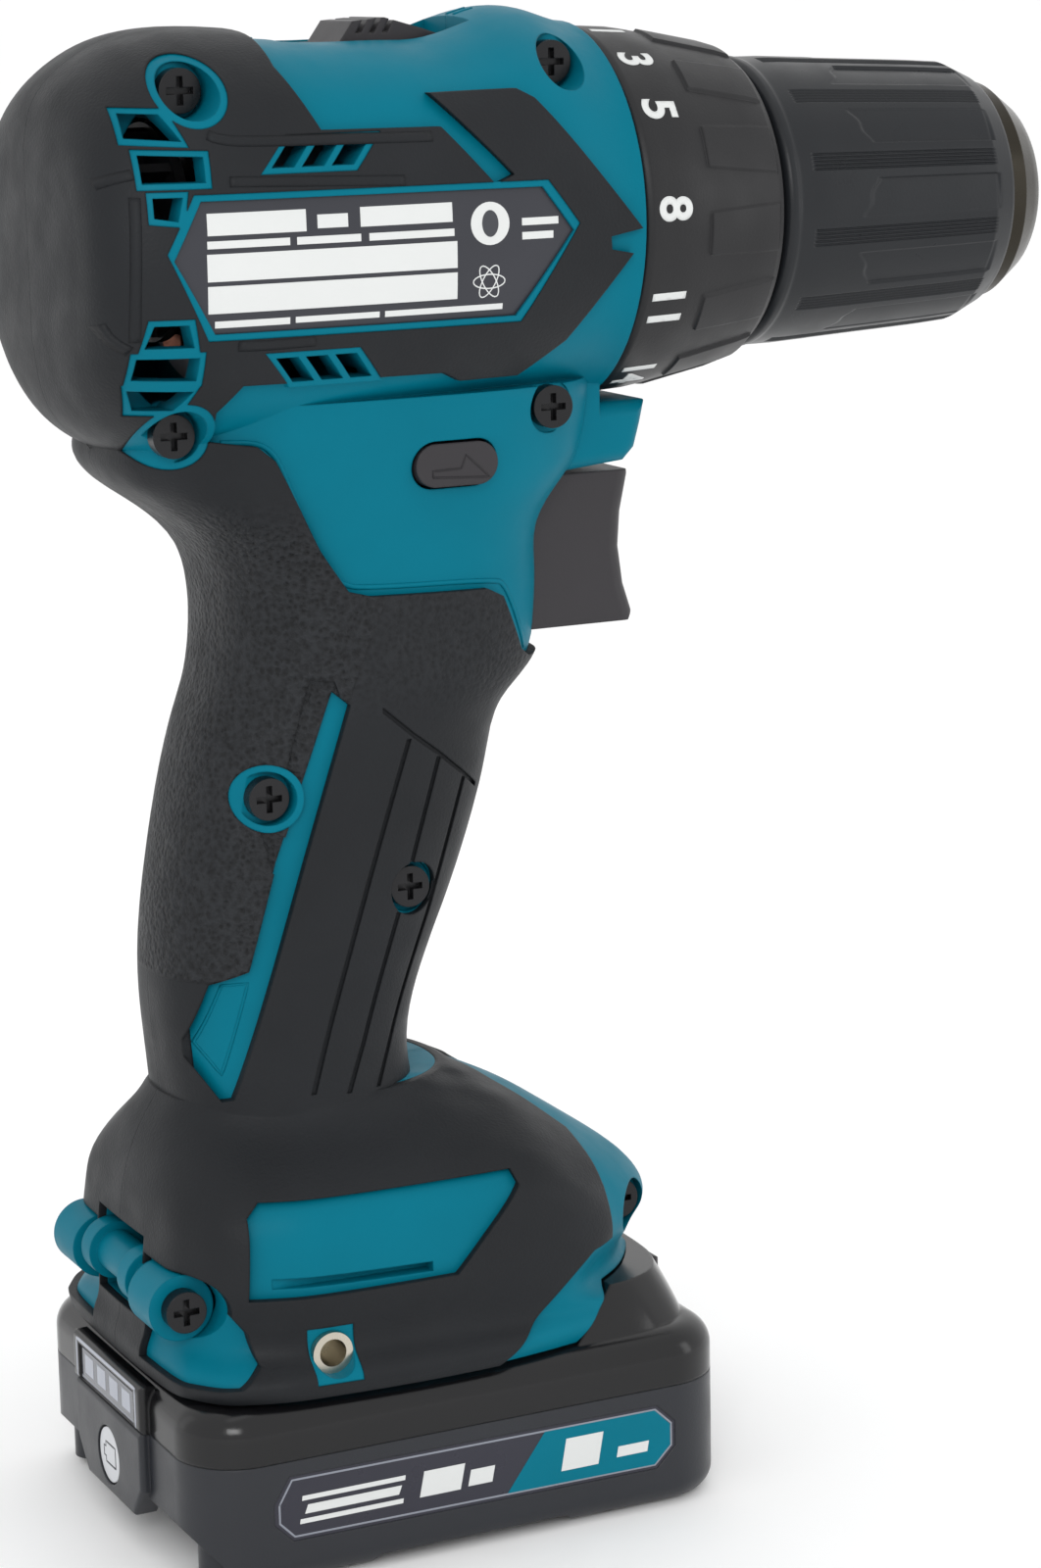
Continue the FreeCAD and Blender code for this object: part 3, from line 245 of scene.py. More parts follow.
def rubber():
    """The overmould: fine grain everywhere, and a coarse leather grain on the back of the handle, with
    painted shade in its pits and painted light on its crests.
    """
    nodes = finish("soft_grip", (27, 29, 32), 0.50, 2300, 0.06, 0.12, specular=0.19, edge=0.45)
    place = nodes.add("ShaderNodeNewGeometry").outputs["Position"]
    nodes.place = place
    split = nodes.add("ShaderNodeSeparateXYZ")
    nodes.link(place, split.inputs["Vector"])
    x, _, z = split.outputs
    above = nodes.spread(z, 0.0, 1.0, GRAIN_LOW * MM, (GRAIN_LOW + 0.5) * MM)
    below = nodes.spread(z, 1.0, 0.0, (GRAIN_HIGH - 8.0) * MM, GRAIN_HIGH * MM)
    ahead = nodes.sums("SUBTRACT", x, nodes.sums("MULTIPLY", z, GRAIN_LEAN))
    edge = (GRAIN_EDGE[0] - GRAIN_LEAN * GRAIN_EDGE[1]) * MM
    behind = nodes.spread(ahead, 1.0, 0.0, edge, edge + 0.6 * MM)
    upper = nodes.spread(z, 0.0, 0.6, (GRAIN_EDGE[1] - 4) * MM, (GRAIN_EDGE[1] + 4) * MM)
    area = nodes.sums("MAXIMUM", behind, upper)
    mask = nodes.sums("MULTIPLY", nodes.sums("MULTIPLY", above, below), area)
    pebbles = nodes.add("ShaderNodeTexVoronoi", feature="SMOOTH_F1")
    pebbles.inputs["Scale"].default_value = GRAIN_SCALE
    nodes.link(place, pebbles.inputs["Vector"])
    uneven = nodes.sums("ADD", pebbles.outputs["Distance"], nodes.noise(1700, 3.0))
    height = nodes.sums("MULTIPLY", uneven, mask)
    fine = nodes.shader.inputs["Normal"].links[0].from_socket
    nodes.link(nodes.bump(height, GRAIN_DEPTH, fine), nodes.shader.inputs["Normal"])
    # Painted shade and light: the grain's colour follows its bump height, darker in the pits and lighter on
    # the crests.
    pit_shade_crest_light = nodes.mix(nodes.spread(uneven, 0.0, 1.0, 0.55, 1.15), rgba(GRAIN_PIT_SHADE), rgba(GRAIN_CREST_LIGHT))
    plain = nodes.shader.inputs["Base Color"].links[0].from_socket
    nodes.link(nodes.mix(mask, plain, pit_shade_crest_light), nodes.shader.inputs["Base Color"])
    return nodes.material


def make_materials():
    """One finish for each slot of the record."""
    return {
        "teal_plastic": surface("teal_plastic", (0, 104, 124), 0.42, 3200, 0.012, 0.05, specular=0.07,
                                edge=0.35),
        "soft_grip": rubber(),
        "plate_film": surface("plate_film", (50, 51, 57), 0.36, 2500, 0.006, 0.05, specular=0.3, edge=0.15),
        "black_steel": surface("black_steel", (28, 28, 30), 0.30, 1800, 0.02, 0.12, metallic=0.5, edge=0.2),
        "insert_steel": surface("insert_steel", (196, 190, 176), 0.28, 1500, 0.01, 0.10, metallic=1.0),
        "clear_lens": surface("clear_lens", (206, 214, 220), 0.12, 900, 0.01, 0.03, coat=0.6),
        "circuit_board": surface("circuit_board", (18, 70, 46), 0.42, 1200, 0.02, 0.15),
        "motor_steel": surface("motor_steel", (120, 122, 128), 0.38, 1600, 0.02, 0.12, metallic=0.9),
        "copper_wire": surface("copper_wire", (176, 94, 52), 0.34, 2200, 0.05, 0.15, metallic=0.9),
        "bearing_steel": surface("bearing_steel", (168, 170, 176), 0.22, 1500, 0.006, 0.08, metallic=1.0),
        "gear_case_metal": surface("gear_case_metal", (140, 142, 146), 0.46, 900, 0.04, 0.10, metallic=0.9),
        "gear_steel": surface("gear_steel", (132, 130, 126), 0.34, 1500, 0.015, 0.10, metallic=1.0),
        "spring_steel": surface("spring_steel", (150, 148, 142), 0.30, 1800, 0.01, 0.10, metallic=1.0),
        "black_plastic": surface("black_plastic", (30, 30, 32), 0.44, 2400, 0.02, 0.08, edge=0.2),
        "fan_plastic": surface("fan_plastic", (46, 46, 48), 0.42, 2400, 0.02, 0.08),
        "chuck_steel": surface("chuck_steel", (56, 53, 47), 0.26, 1400, 0.01, 0.12, metallic=1.0,
                               stretch=(0.04, 1.0, 1.0), edge=0.25),
        "jaw_steel": surface("jaw_steel", (88, 86, 84), 0.34, 1500, 0.015, 0.12, metallic=1.0),
        "sleeve_plastic": surface("sleeve_plastic", (31, 33, 36), 0.32, 2600, 0.012, 0.07, specular=0.23),
        "ring_plastic": surface("ring_plastic", (27, 27, 29), 0.42, 2600, 0.022, 0.07, specular=0.3),
        "control_plastic": surface("control_plastic", (46, 44, 47), 0.42, 2600, 0.02, 0.07, specular=0.3,
                                   edge=0.5),
        "case_plastic": surface("case_plastic", (36, 38, 43), 0.34, 2600, 0.018, 0.06, specular=0.35,
                                edge=0.5),
        "cover_plastic": surface("cover_plastic", (13, 13, 15), 0.17, 2400, 0.006, 0.08, specular=0.4,
                                 edge=0.6, rough_spread=0.03),
        "label_film": surface("label_film", (44, 44, 54), 0.30, 2400, 0.004, 0.05, specular=0.35,
                              edge=0.15),
        "smoked_window": surface("smoked_window", (70, 74, 84), 0.14, 1500, 0.004, 0.06, coat=0.4),
        "button_plastic": surface("button_plastic", (196, 198, 202), 0.34, 2400, 0.01, 0.03, edge=0.3),
        "cell_wrap": surface("cell_wrap", (36, 92, 140), 0.30, 1200, 0.01, 0.10),
        "contact_metal": surface("contact_metal", (186, 160, 104), 0.26, 1500, 0.01, 0.08, metallic=1.0),
    }


def make_prints():
    """The finishes of printed marks and of the seam between the housing halves."""
    return {
        "white": surface("white_print", (208, 210, 209), 0.45, 2400, 0.01, 0.02),
        "grey": surface("grey_print", (128, 132, 142), 0.40, 2400, 0.01, 0.04),
        "pale": surface("pale_print", (164, 168, 178), 0.40, 2400, 0.01, 0.04),
        "seam": surface("seam_dark", (10, 10, 11), 0.60, 2400, 0.01, 0.04, specular=0.1),
        "dark": surface("dark_print", (52, 54, 60), 0.45, 2400, 0.01, 0.04),
        "teal": surface("teal_print", (0, 106, 126), 0.34, 2400, 0.006, 0.04, specular=0.10),
    }


# ---- Clean edges on the CAD pieces ----

WELD_DISTANCE = 0.002
SMOOTH_ANGLE = 28

def node_group(name):
    group = bpy.data.node_groups.new(name, "GeometryNodeTree")
    group.interface.new_socket("Geometry", in_out="INPUT", socket_type="NodeSocketGeometry")
    group.interface.new_socket("Geometry", in_out="OUTPUT", socket_type="NodeSocketGeometry")
    start = group.nodes.new("NodeGroupInput")
    end = group.nodes.new("NodeGroupOutput")
    return group, start, end


def weld_group():
    """Drops the imported normals and joins the triangles that share corners."""
    group, start, end = node_group("weld_triangles")
    drop = group.nodes.new("GeometryNodeRemoveAttribute")
    drop.inputs["Name"].default_value = "custom_normal"
    merge = group.nodes.new("GeometryNodeMergeByDistance")
    merge.inputs["Distance"].default_value = WELD_DISTANCE * MM
    group.links.new(start.outputs[0], drop.inputs["Geometry"])
    group.links.new(drop.outputs["Geometry"], merge.inputs["Geometry"])
    group.links.new(merge.outputs["Geometry"], end.inputs[0])
    return group


def smooth_group(angle):
    """Smooth shading, with edges sharper than the angle kept crisp."""
    group, start, end = node_group("smooth_by_angle")
    whole = group.nodes.new("GeometryNodeSetShadeSmooth")
    whole.domain = "FACE"
    crisp = group.nodes.new("GeometryNodeSetShadeSmooth")
    crisp.domain = "EDGE"
    crisp.inputs["Shade Smooth"].default_value = False
    edge = group.nodes.new("GeometryNodeInputMeshEdgeAngle")
    test = group.nodes.new("FunctionNodeCompare")
    test.data_type = "FLOAT"
    test.operation = "GREATER_THAN"
    test.inputs["B"].default_value = math.radians(angle)
    group.links.new(start.outputs[0], whole.inputs["Geometry"])
    group.links.new(whole.outputs["Geometry"], crisp.inputs["Geometry"])
    group.links.new(edge.outputs["Unsigned Angle"], test.inputs["A"])
    group.links.new(test.outputs["Result"], crisp.inputs["Selection"])
    group.links.new(crisp.outputs["Geometry"], end.inputs[0])
    return group


def add_group(piece, group):
    modifier = piece.modifiers.new(group.name, "NODES")
    modifier.node_group = group


def finish_cad_pieces(materials):
    weld = weld_group()
    smooth = smooth_group(SMOOTH_ANGLE)
    for part in frame["record"]["subparts"]:
        piece = frame["nodes"][part["node"]]
        for slot in piece.material_slots:
            slot.material = materials[part["material_slot"]]
        add_group(piece, weld)
        add_group(piece, smooth)


# ---- Helpers for new pieces ----

def along(profile, x):
    """The radius of a turned profile at x."""
    for (x0, r0), (x1, r1) in zip(profile, profile[1:]):
        if x <= x1:
            return r0 + (r1 - r0) * (x - x0) / (x1 - x0)
    return profile[-1][1]


def ease(value):
    share = min(1.0, max(0.0, value))
    return share * share * (3 - 2 * share)


def stations(*runs):
    """X places from (start, end, step) runs, each given once."""
    places = []
    for start, end, step in runs:
        count = max(1, round((end - start) / step))
        places += [start + (end - start) * k / count for k in range(count)]
    places.append(runs[-1][1])
    return places


def place_on_axis(x, radius, degrees):
    """A point round the spindle axis; 0 degrees is up and 90 is the right side."""
    turn = math.radians(degrees)
    return Vector((x, -radius * math.sin(turn), AXIS_Z + radius * math.cos(turn))) * MM


def new_piece(name, vertices, faces, material, body, smooth=True):
    mesh = bpy.data.meshes.new(name)
    mesh.from_pydata(vertices, [], faces)
    mesh.validate()
    mesh.materials.append(material)
    work = bmesh.new()
    work.from_mesh(mesh)
    bmesh.ops.recalc_face_normals(work, faces=work.faces)
    work.to_mesh(mesh)
    work.free()
    for face in mesh.polygons:
        face.use_smooth = smooth
    piece = bpy.data.objects.new(name, mesh)
    bpy.context.scene.collection.objects.link(piece)
    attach(piece, body)
    return piece


def turned_piece(name, places, columns, radius_at, inside, material, body):
    """A closed turned skin: outer rows of radius_at(x, degrees), then the plain inside profile."""
    rings = [[place_on_axis(x, radius_at(x, 360 * k / columns), 360 * k / columns) for k in range(columns)]
             for x in places]
    rings += [[place_on_axis(x, radius, 360 * k / columns) for k in range(columns)] for x, radius in inside]
    vertices = [point for ring in rings for point in ring]
    faces = []
    for i in range(len(rings)):
        j = (i + 1) % len(rings)
        for k in range(columns):
            nxt = (k + 1) % columns
            faces.append((i * columns + k, i * columns + nxt, j * columns + nxt, j * columns + k))
    return new_piece(name, vertices, faces, material, body)


# ---- Chuck sleeve ----

SLEEVE_PROFILE = ((29.3, 20.2), (29.6, 20.8), (30.2, 21.2), (31.0, 21.2), (31.6, 21.0), (36.0, 21.0),
                  (60.0, 19.8), (65.6, 19.4), (69.6, 17.6), (70.1, 16.8))
SLEEVE_INSIDE = ((70.1, 15.0), (66.0, 15.0), (64.0, 15.9), (33.0, 15.9), (33.0, 14.9), (29.3, 14.9))
SLEEVE_PITCH = 30.0
GROOVES_AT = 12.0  # degrees of the first group of grooves
GROOVE_COUNT = 5
GROOVE_PITCH = 1.5
GROOVE_DEPTH = 0.28
GROOVE_REAR, GROOVE_FRONT = 33.8, 66.0
SCALLOP_HALF = 8.0
SCALLOP_DEPTH = 0.42
SCALLOP_FRONT = 66.6


def groove_cut(x, degrees):
    offset = (degrees - GROOVES_AT + SLEEVE_PITCH / 2) % SLEEVE_PITCH - SLEEVE_PITCH / 2
    if abs(offset) > GROOVE_COUNT * GROOVE_PITCH / 2:
        return 0.0
    wave = 0.5 + 0.5 * math.cos(2 * math.pi * offset / GROOVE_PITCH)
    ends = ease((x - GROOVE_REAR) / 0.5) * ease((GROOVE_FRONT - x) / 0.5)
    return GROOVE_DEPTH * wave * ends


def scallop_cut(x, degrees):
    """A shallow scoop between two groups of grooves, deep on one side and running out on the other."""
    turned = (degrees - GROOVES_AT) % (2 * SLEEVE_PITCH)
    flip = 1 if turned > SLEEVE_PITCH else -1
    across = (turned % SLEEVE_PITCH - SLEEVE_PITCH / 2) * flip
    if abs(across) > SCALLOP_HALF:
        return 0.0
    share = (across + SCALLOP_HALF) / (2 * SCALLOP_HALF)
    depth = SCALLOP_DEPTH * (0.25 + 0.75 * share) * ease((SCALLOP_HALF - across) / 0.7)
    depth *= ease((across + SCALLOP_HALF) / 0.7)
    rear = 43.2 + 1.5 * math.sin(math.pi / 2 * across / SCALLOP_HALF) ** 3
    return depth * ease((x - rear) / 0.7) * ease((SCALLOP_FRONT - x) / 0.8)


def sleeve_radius(x, degrees):
    return along(SLEEVE_PROFILE, x) - groove_cut(x, degrees) - scallop_cut(x, degrees)


def add_sleeve(materials):
    places = stations((29.3, 32.0, 0.25), (32.0, 33.6, 0.8), (33.6, 34.6, 0.2), (34.6, 41.2, 1.6),
                      (41.2, 46.0, 0.24), (46.0, 65.0, 2.2), (65.0, 67.6, 0.2), (67.6, 69.6, 0.5),
                      (69.6, 70.1, 0.1))
    sleeve = turned_piece("sleeve_skin", places, 1440, sleeve_radius, SLEEVE_INSIDE,
                          materials["sleeve_plastic"], "chuck_grip")
    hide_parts("chuck_sleeve")


# ---- Clutch ring ----

RING_PROFILE = ((3.9, 25.5), (4.2, 25.9), (5.0, 26.25), (11.0, 25.9), (13.6, 25.45), (24.5, 23.3),
                (27.0, 22.6), (28.1, 21.9), (28.5, 21.1))
RING_INSIDE = ((28.5, 14.2), (26.0, 14.2), (26.0, 19.2), (16.8, 20.6), (3.9, 21.6))
PAD_COUNT = 13
PAD_AT = 12.4  # degrees of the first pad's middle
PAD_HEIGHT = 0.42
PAD_REAR, PAD_FRONT = 14.4, 27.2
DIGIT_MIDDLE = 8.5
DIGIT_HEIGHT = 5.4
DIGIT_PITCH = 10.6
DIGIT_ONE_AT = 12.8
DIGITS = (1, 3, 5, 8, 11, 14, 17)
DIGIT_THICKNESS = 0.08
DIGIT_WEIGHT = 0.22  # how far the strokes are thickened
CAPITAL_SHARE = 0.72  # a digit's height as a share of the font's size


def ring_radius(x, degrees):
    pitch = 360 / PAD_COUNT
    across = abs((degrees - PAD_AT + pitch / 2) % pitch - pitch / 2)
    half = 7.0 + 1.8 * (x - PAD_REAR) / (PAD_FRONT - PAD_REAR)
    pad = ease((half - across) / 0.5) * ease((x - PAD_REAR) / 0.3) * ease((PAD_FRONT - x) / 0.5)
    return along(RING_PROFILE, x) + PAD_HEIGHT * pad


def add_clutch_ring(materials):
    places = stations((3.9, 5.2, 0.25), (5.2, 14.2, 1.8), (14.2, 15.0, 0.1), (15.0, 26.4, 1.9),
                      (26.4, 28.5, 0.15))
    ring = turned_piece("ring_skin", places, 1080, ring_radius, RING_INSIDE,
                        materials["ring_plastic"], "clutch_adjuster")
    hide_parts("clutch_ring")


def text_mesh(text, height, thickness, weight):
    """The outline of some digits as a flat solid, centred, with its top towards +Y."""
    curve = bpy.data.curves.new("digits", "FONT")
    curve.body = text
    curve.size = height / CAPITAL_SHARE
    curve.offset = weight
    curve.extrude = thickness / 2
    curve.align_x = "CENTER"
    holder = bpy.data.objects.new("digits", curve)
    bpy.context.scene.collection.objects.link(holder)
    bpy.context.view_layer.update()
    mesh = bpy.data.meshes.new_from_object(holder.evaluated_get(bpy.context.evaluated_depsgraph_get()))
    bpy.data.objects.remove(holder)
    work = bmesh.new()
    work.from_mesh(mesh)
    bmesh.ops.remove_doubles(work, verts=work.verts, dist=1e-5)
    for _ in range(3):
        long_edges = [edge for edge in work.edges if edge.calc_length() > 0.9]
        bmesh.ops.subdivide_edges(work, edges=long_edges, cuts=1)
        bmesh.ops.triangulate(work, faces=work.faces)
    low = min(vertex.co.y for vertex in work.verts)
    high = max(vertex.co.y for vertex in work.verts)
    scale = height / (high - low)
    for vertex in work.verts:
        vertex.co.x *= scale
        vertex.co.y = (vertex.co.y - (low + high) / 2) * scale
    work.verts.index_update()
    vertices = [vertex.co.copy() for vertex in work.verts]
    faces = [tuple(vertex.index for vertex in face.verts) for face in work.faces]
    work.free()
    bpy.data.meshes.remove(mesh)
    bpy.data.curves.remove(curve)
    return vertices, faces


def add_ring_digits(white):
    for value in DIGITS:
        middle = DIGIT_ONE_AT + DIGIT_PITCH * (value - 1)
        vertices, faces = text_mesh(str(value), DIGIT_HEIGHT, DIGIT_THICKNESS, DIGIT_WEIGHT)
        bent = []
        for point in vertices:  # a digit's foot points to the rear of the drill
            x = DIGIT_MIDDLE + point.y
            radius = along(RING_PROFILE, x) + 0.03 + point.z
            bent.append(place_on_axis(x, radius, middle + math.degrees(point.x / radius)))
        new_piece(f"ring_digit_{value}", bent, faces, white, "clutch_adjuster")


# ---- Details laid on the surfaces ----

RIGHT, LEFT, REAR, TOP = "right", "left", "rear", "top"
AIMS = {RIGHT: (0, 1, 0), LEFT: (0, -1, 0), REAR: (1, 0, 0), TOP: (0, 0, -1)}


def skin_of(*names):
    """The faces of some CAD pieces, ready for rays to land on."""
    vertices, faces = [], []
    for name in names:
        piece = frame["nodes"][name]
        first = len(vertices)
        vertices += [piece.matrix_world @ vertex.co for vertex in piece.data.vertices]
        faces += [tuple(first + index for index in face.vertices) for face in piece.data.polygons]
    return BVHTree.FromPolygons(vertices, faces)


def land(skin, side, a, b, lift):
    """Where a ray from one side meets the skin, lifted off it by a little."""
    starts = {RIGHT: (a, -120, b), LEFT: (a, 120, b), REAR: (-150, a, b), TOP: (a, b, 300)}
    aim = Vector(AIMS[side])
    hit = skin.ray_cast(Vector(starts[side]) * MM, aim)[0]
    return hit - aim * lift * MM if hit else None


def flat_mesh(outline, longest):
    """Small triangles that fill an outline."""
    work = bmesh.new()
    corners = [work.verts.new((a, b, 0)) for a, b in outline]
    work.faces.new(corners)
    bmesh.ops.triangulate(work, faces=work.faces)
    for _ in range(8):
        long_edges = [edge for edge in work.edges if edge.calc_length() > longest]
        if not long_edges:
            break
        bmesh.ops.subdivide_edges(work, edges=long_edges, cuts=1)
        bmesh.ops.triangulate(work, faces=work.faces)
    work.verts.index_update()
    points = [(vertex.co.x, vertex.co.y) for vertex in work.verts]
    faces = [tuple(vertex.index for vertex in face.verts) for face in work.faces]
    rim = [tuple(vertex.index for vertex in edge.verts) for edge in work.edges if edge.is_boundary]
    work.free()
    return points, faces, rim


DECAL_GRID = 1.6  # longest edge of a sheet's triangles


def decal(name, outline, side, skin, material, body, thickness=0.05, lift=-0.02):
    """A thin closed sheet in the shape of an outline, laid on a surface."""
    points, faces, rim = flat_mesh(outline, DECAL_GRID)
    low = [land(skin, side, a, b, lift) for a, b in points]
    high = [land(skin, side, a, b, lift + thickness) for a, b in points]
    if None in low:
        return None
    count = len(points)
    shell = list(faces) + [tuple(count + index for index in reversed(face)) for face in faces]
    shell += [(a, b, count + b, count + a) for a, b in rim]
    return new_piece(name, low + high, shell, material, body, smooth=False)


def loop_line(points):
    return list(points) + [points[0]]


def resampled(line, step):
    spots = []
    for (a0, b0), (a1, b1) in zip(line, line[1:]):
        count = max(1, round(math.dist((a0, b0), (a1, b1)) / step))
        spots += [(a0 + (a1 - a0) * k / count, b0 + (b1 - b0) * k / count) for k in range(count)]
    spots.append(line[-1])
    return spots


def softened(line, rounds=2):
    """The line with its corners cut, again and again, into curves."""
    for _ in range(rounds):
        cut = [line[0]]
        for (a0, b0), (a1, b1) in zip(line, line[1:]):
            cut.append((a0 * 0.75 + a1 * 0.25, b0 * 0.75 + b1 * 0.25))
            cut.append((a0 * 0.25 + a1 * 0.75, b0 * 0.25 + b1 * 0.75))
        cut.append(line[-1])
        line = cut
    return line


BEAD_ACROSS = (-1.0, -0.92, -0.6, 0.0, 0.6, 0.92, 1.0)  # places across a ridge, as shares of half its width
BEAD_SUNK = 0.04  # how far a ridge's edges lie under the surface
BEAD_ROOT = 0.12  # how far its underside does


def bead(name, line, side, skin, material, body, width=0.9, height=0.35, step=0.8):
    """A half-round ridge along a line on a surface, with flat ends."""
    spots = resampled(line, step)
    rows = []
    for k, (a, b) in enumerate(spots):
        a0, b0 = spots[max(0, k - 1)]
        a1, b1 = spots[min(len(spots) - 1, k + 1)]
        length = math.dist((a0, b0), (a1, b1)) or 1.0
        side_a, side_b = -(b1 - b0) / length, (a1 - a0) / length
        row = []
        for share in BEAD_ACROSS:
            offset = share * width / 2
            rise = height * math.sqrt(max(0.0, 1 - share * share))
            row.append(land(skin, side, a + side_a * offset, b + side_b * offset, rise - BEAD_SUNK))
        row.append(land(skin, side, a, b, -BEAD_ROOT))
        if None not in row:
            rows.append(row)
    if len(rows) < 2:
        return None
    size = len(BEAD_ACROSS) + 1
    vertices = [point for row in rows for point in row]
    faces = []
    for i in range(len(rows) - 1):
        for k in range(size):
            nxt = (k + 1) % size
            faces.append((i * size + k, i * size + nxt, (i + 1) * size + nxt, (i + 1) * size + k))
    faces.append(tuple(range(size)))
    faces.append(tuple((len(rows) - 1) * size + k for k in reversed(range(size))))
    return new_piece(name, vertices, faces, material, body)


def bar(a0, a1, b0, b1, lean=0.0):
    return ((a0, b0), (a1, b0), (a1 + lean, b1), (a0 + lean, b1))


def oval(a, b, half_a, half_b, count=32):
    turns = [2 * math.pi * k / count for k in range(count)]
    return tuple((a + half_a * math.cos(turn), b + half_b * math.sin(turn)) for turn in turns)


def two_sides(make, name, *names):
    """Lays the same detail on the right and the left side."""
    skin = skin_of(*names)
    for side in (RIGHT, LEFT):
        make(name + "_" + side, side, skin)


# ---- Teal ridges on the housing ----

NECK_LINE = ((-58.0, 159.3), (-53.6, 159.2), (-51.4, 158.0), (-49.6, 154.9), (-44.7, 143.8), (-42.3, 139.8),
             (-39.6, 138.0), (-37.0, 137.5), (-16.6, 136.9), (-14.2, 135.6), (-9.6, 125.8))
STRIP_LINE = ((-57.9, 82.0), (-54.6, 82.3), (-58.2, 68.9), (-61.0, 73.4))


def add_teal_ridges(materials):
    teal = materials["teal_plastic"]

    def neck(name, side, skin):
        bead(name, softened(NECK_LINE), side, skin, teal, "housing", 0.8, 0.3)

    def strip(name, side, skin):
        bead(name, loop_line(STRIP_LINE), side, skin, teal, "housing", 0.45, 0.16)

    two_sides(neck, "neck_ridge", "housing_right", "housing_left")
    two_sides(strip, "strip_ridge", "housing_right", "housing_left")


# ---- Relief of the overmould ----

RUBBER_RIDGES = (
    ((-71.4, 200.4), (-71.2, 196.0), (-71.6, 188.0), (-72.0, 178.0), (-71.6, 169.5)),
    ((-75.4, 194.6), (-73.4, 195.4), (-71.2, 195.9)),
    ((-75.6, 176.4), (-74.4, 174.2), (-71.8, 172.6)),
    ((-62.2, 201.2), (-59.6, 199.9), (-53.6, 199.6), (-29.2, 199.3)),
    ((-59.0, 194.6), (-49.6, 194.3), (-24.6, 193.4)),
    ((-62.6, 173.4), (-56.0, 172.9), (-44.7, 173.2), (-19.6, 173.4)),
)


def add_rubber_relief(materials):
    rubber_finish = materials["soft_grip"]

    def ridges(name, side, skin):
        for number, line in enumerate(RUBBER_RIDGES):
            bead(f"{name}_{number}", softened(line), side, skin, rubber_finish, "housing", 1.5, 0.2)

    two_sides(ridges, "rubber_ridge", "grip_right", "grip_left")


# ---- Rating plates ----

PLATE_BARS = (
    (-62.3, -48.4, 187.7, 190.6), (-46.8, -42.4, 188.0, 189.8), (-40.6, -27.0, 187.9, 190.5),
    (-62.4, -50.8, 186.0, 187.0), (-49.8, -40.6, 186.0, 187.0), (-39.4, -26.8, 186.0, 187.0),
    (-62.5, -26.4, 181.7, 185.3), (-62.5, -26.4, 177.5, 181.1),
    (-61.6, -51.0, 175.6, 176.5), (-50.2, -38.0, 175.7, 176.5), (-37.2, -19.4, 175.7, 176.5),
    (-16.6, -11.0, 186.9, 187.9), (-16.6, -11.8, 185.0, 186.0),
)
PLATE_DISC = (-21.4, 187.4, 2.9)
PLATE_RING = (-21.6, 179.6, 2.4)


def orbit_line(x, z, radius, degrees, count=24):
    """A slim oval round a middle, turned by some degrees."""
    turn = math.radians(degrees)
    line = []
    for k in range(count + 1):
        angle = 2 * math.pi * k / count
        long_part = radius * math.cos(angle)
        short_part = radius * 0.4 * math.sin(angle)
        line.append((x + long_part * math.cos(turn) - short_part * math.sin(turn),
                     z + long_part * math.sin(turn) + short_part * math.cos(turn)))
    return line


def add_plate_prints(prints_used):
    """Blank bars and round marks where a plate is printed."""
    white, dark = prints_used["white"], prints_used["dark"]

    def prints(name, side, skin):
        for number, (x0, x1, z0, z1) in enumerate(PLATE_BARS):
            decal(f"{name}_{number}", bar(x0, x1, z0, z1), side, skin, white, "housing")
        x, z, radius = PLATE_DISC
        decal(f"{name}_disc", oval(x, z, radius, radius), side, skin, white, "housing")
        decal(f"{name}_drop", oval(x, z, radius * 0.42, radius * 0.62), side, skin, dark, "housing", 0.09)
        x, z, radius = PLATE_RING
        for turn in (0, 60, 120):
            line = orbit_line(x, z, radius, turn)
            bead(f"{name}_orbit_{turn}", line, side, skin, white, "housing", 0.22, 0.07)

    two_sides(prints, "plate_print", "rating_plates")


# ---- Battery labels ----

LABEL_RIM = ((-60.2, 12.2), (-58.2, 15.6), (-1.0, 15.3), (1.6, 12.8), (1.6, 9.4), (-1.1, 6.8), (-58.0, 7.2),
             (-60.2, 9.5))
LABEL_TEAL = ((-25.0, 7.1), (-1.2, 6.9), (1.4, 9.5), (1.4, 12.7), (-1.1, 15.2), (-18.9, 15.3))


LABEL_BARS = (  # from and to along the drill, from and to in height, lean, and thickness
    (-57.2, -41.4, 8.9, 9.6, 0.1, 0.05), (-56.8, -41.0, 12.3, 13.0, 0.1, 0.05),
    (-56.4, -42.0, 10.3, 11.6, 0.5, 0.05), (-38.8, -32.4, 9.2, 13.0, 0.8, 0.05),
    (-31.2, -27.4, 9.4, 11.8, 0.5, 0.05), (-16.4, -10.4, 8.8, 13.6, 0.9, 0.10),
    (-7.4, -2.4, 9.2, 10.8, 0.3, 0.10),
)


def add_label_prints(prints_used):
    """A rim, a teal end and blank bars on the battery's side labels."""
    white, grey, teal = prints_used["white"], prints_used["grey"], prints_used["teal"]

    def prints(name, side, skin):
        bead(f"{name}_rim", loop_line(LABEL_RIM), side, skin, grey, "battery", 0.35, 0.08)
        decal(f"{name}_teal", LABEL_TEAL, side, skin, teal, "battery", 0.06)
        for number, (x0, x1, z0, z1, lean, thickness) in enumerate(LABEL_BARS, 1):
            outline = bar(x0, x1, z0, z1, lean)
            decal(f"{name}_bar_{number}", outline, side, skin, white, "battery", thickness)

    two_sides(prints, "label_print", "battery_labels")


# ---- Seam, charge gauge, check button, lever and speed marks ----

SEAM_RUNS = ((REAR, ((0.0, 49.0), (0.0, 61.0))), (REAR, ((0.0, 66.0), (0.0, 203.0))),
             (TOP, ((-73.0, 0.0), (-43.4, 0.0))), (TOP, ((-12.6, 0.0), (2.6, 0.0))))


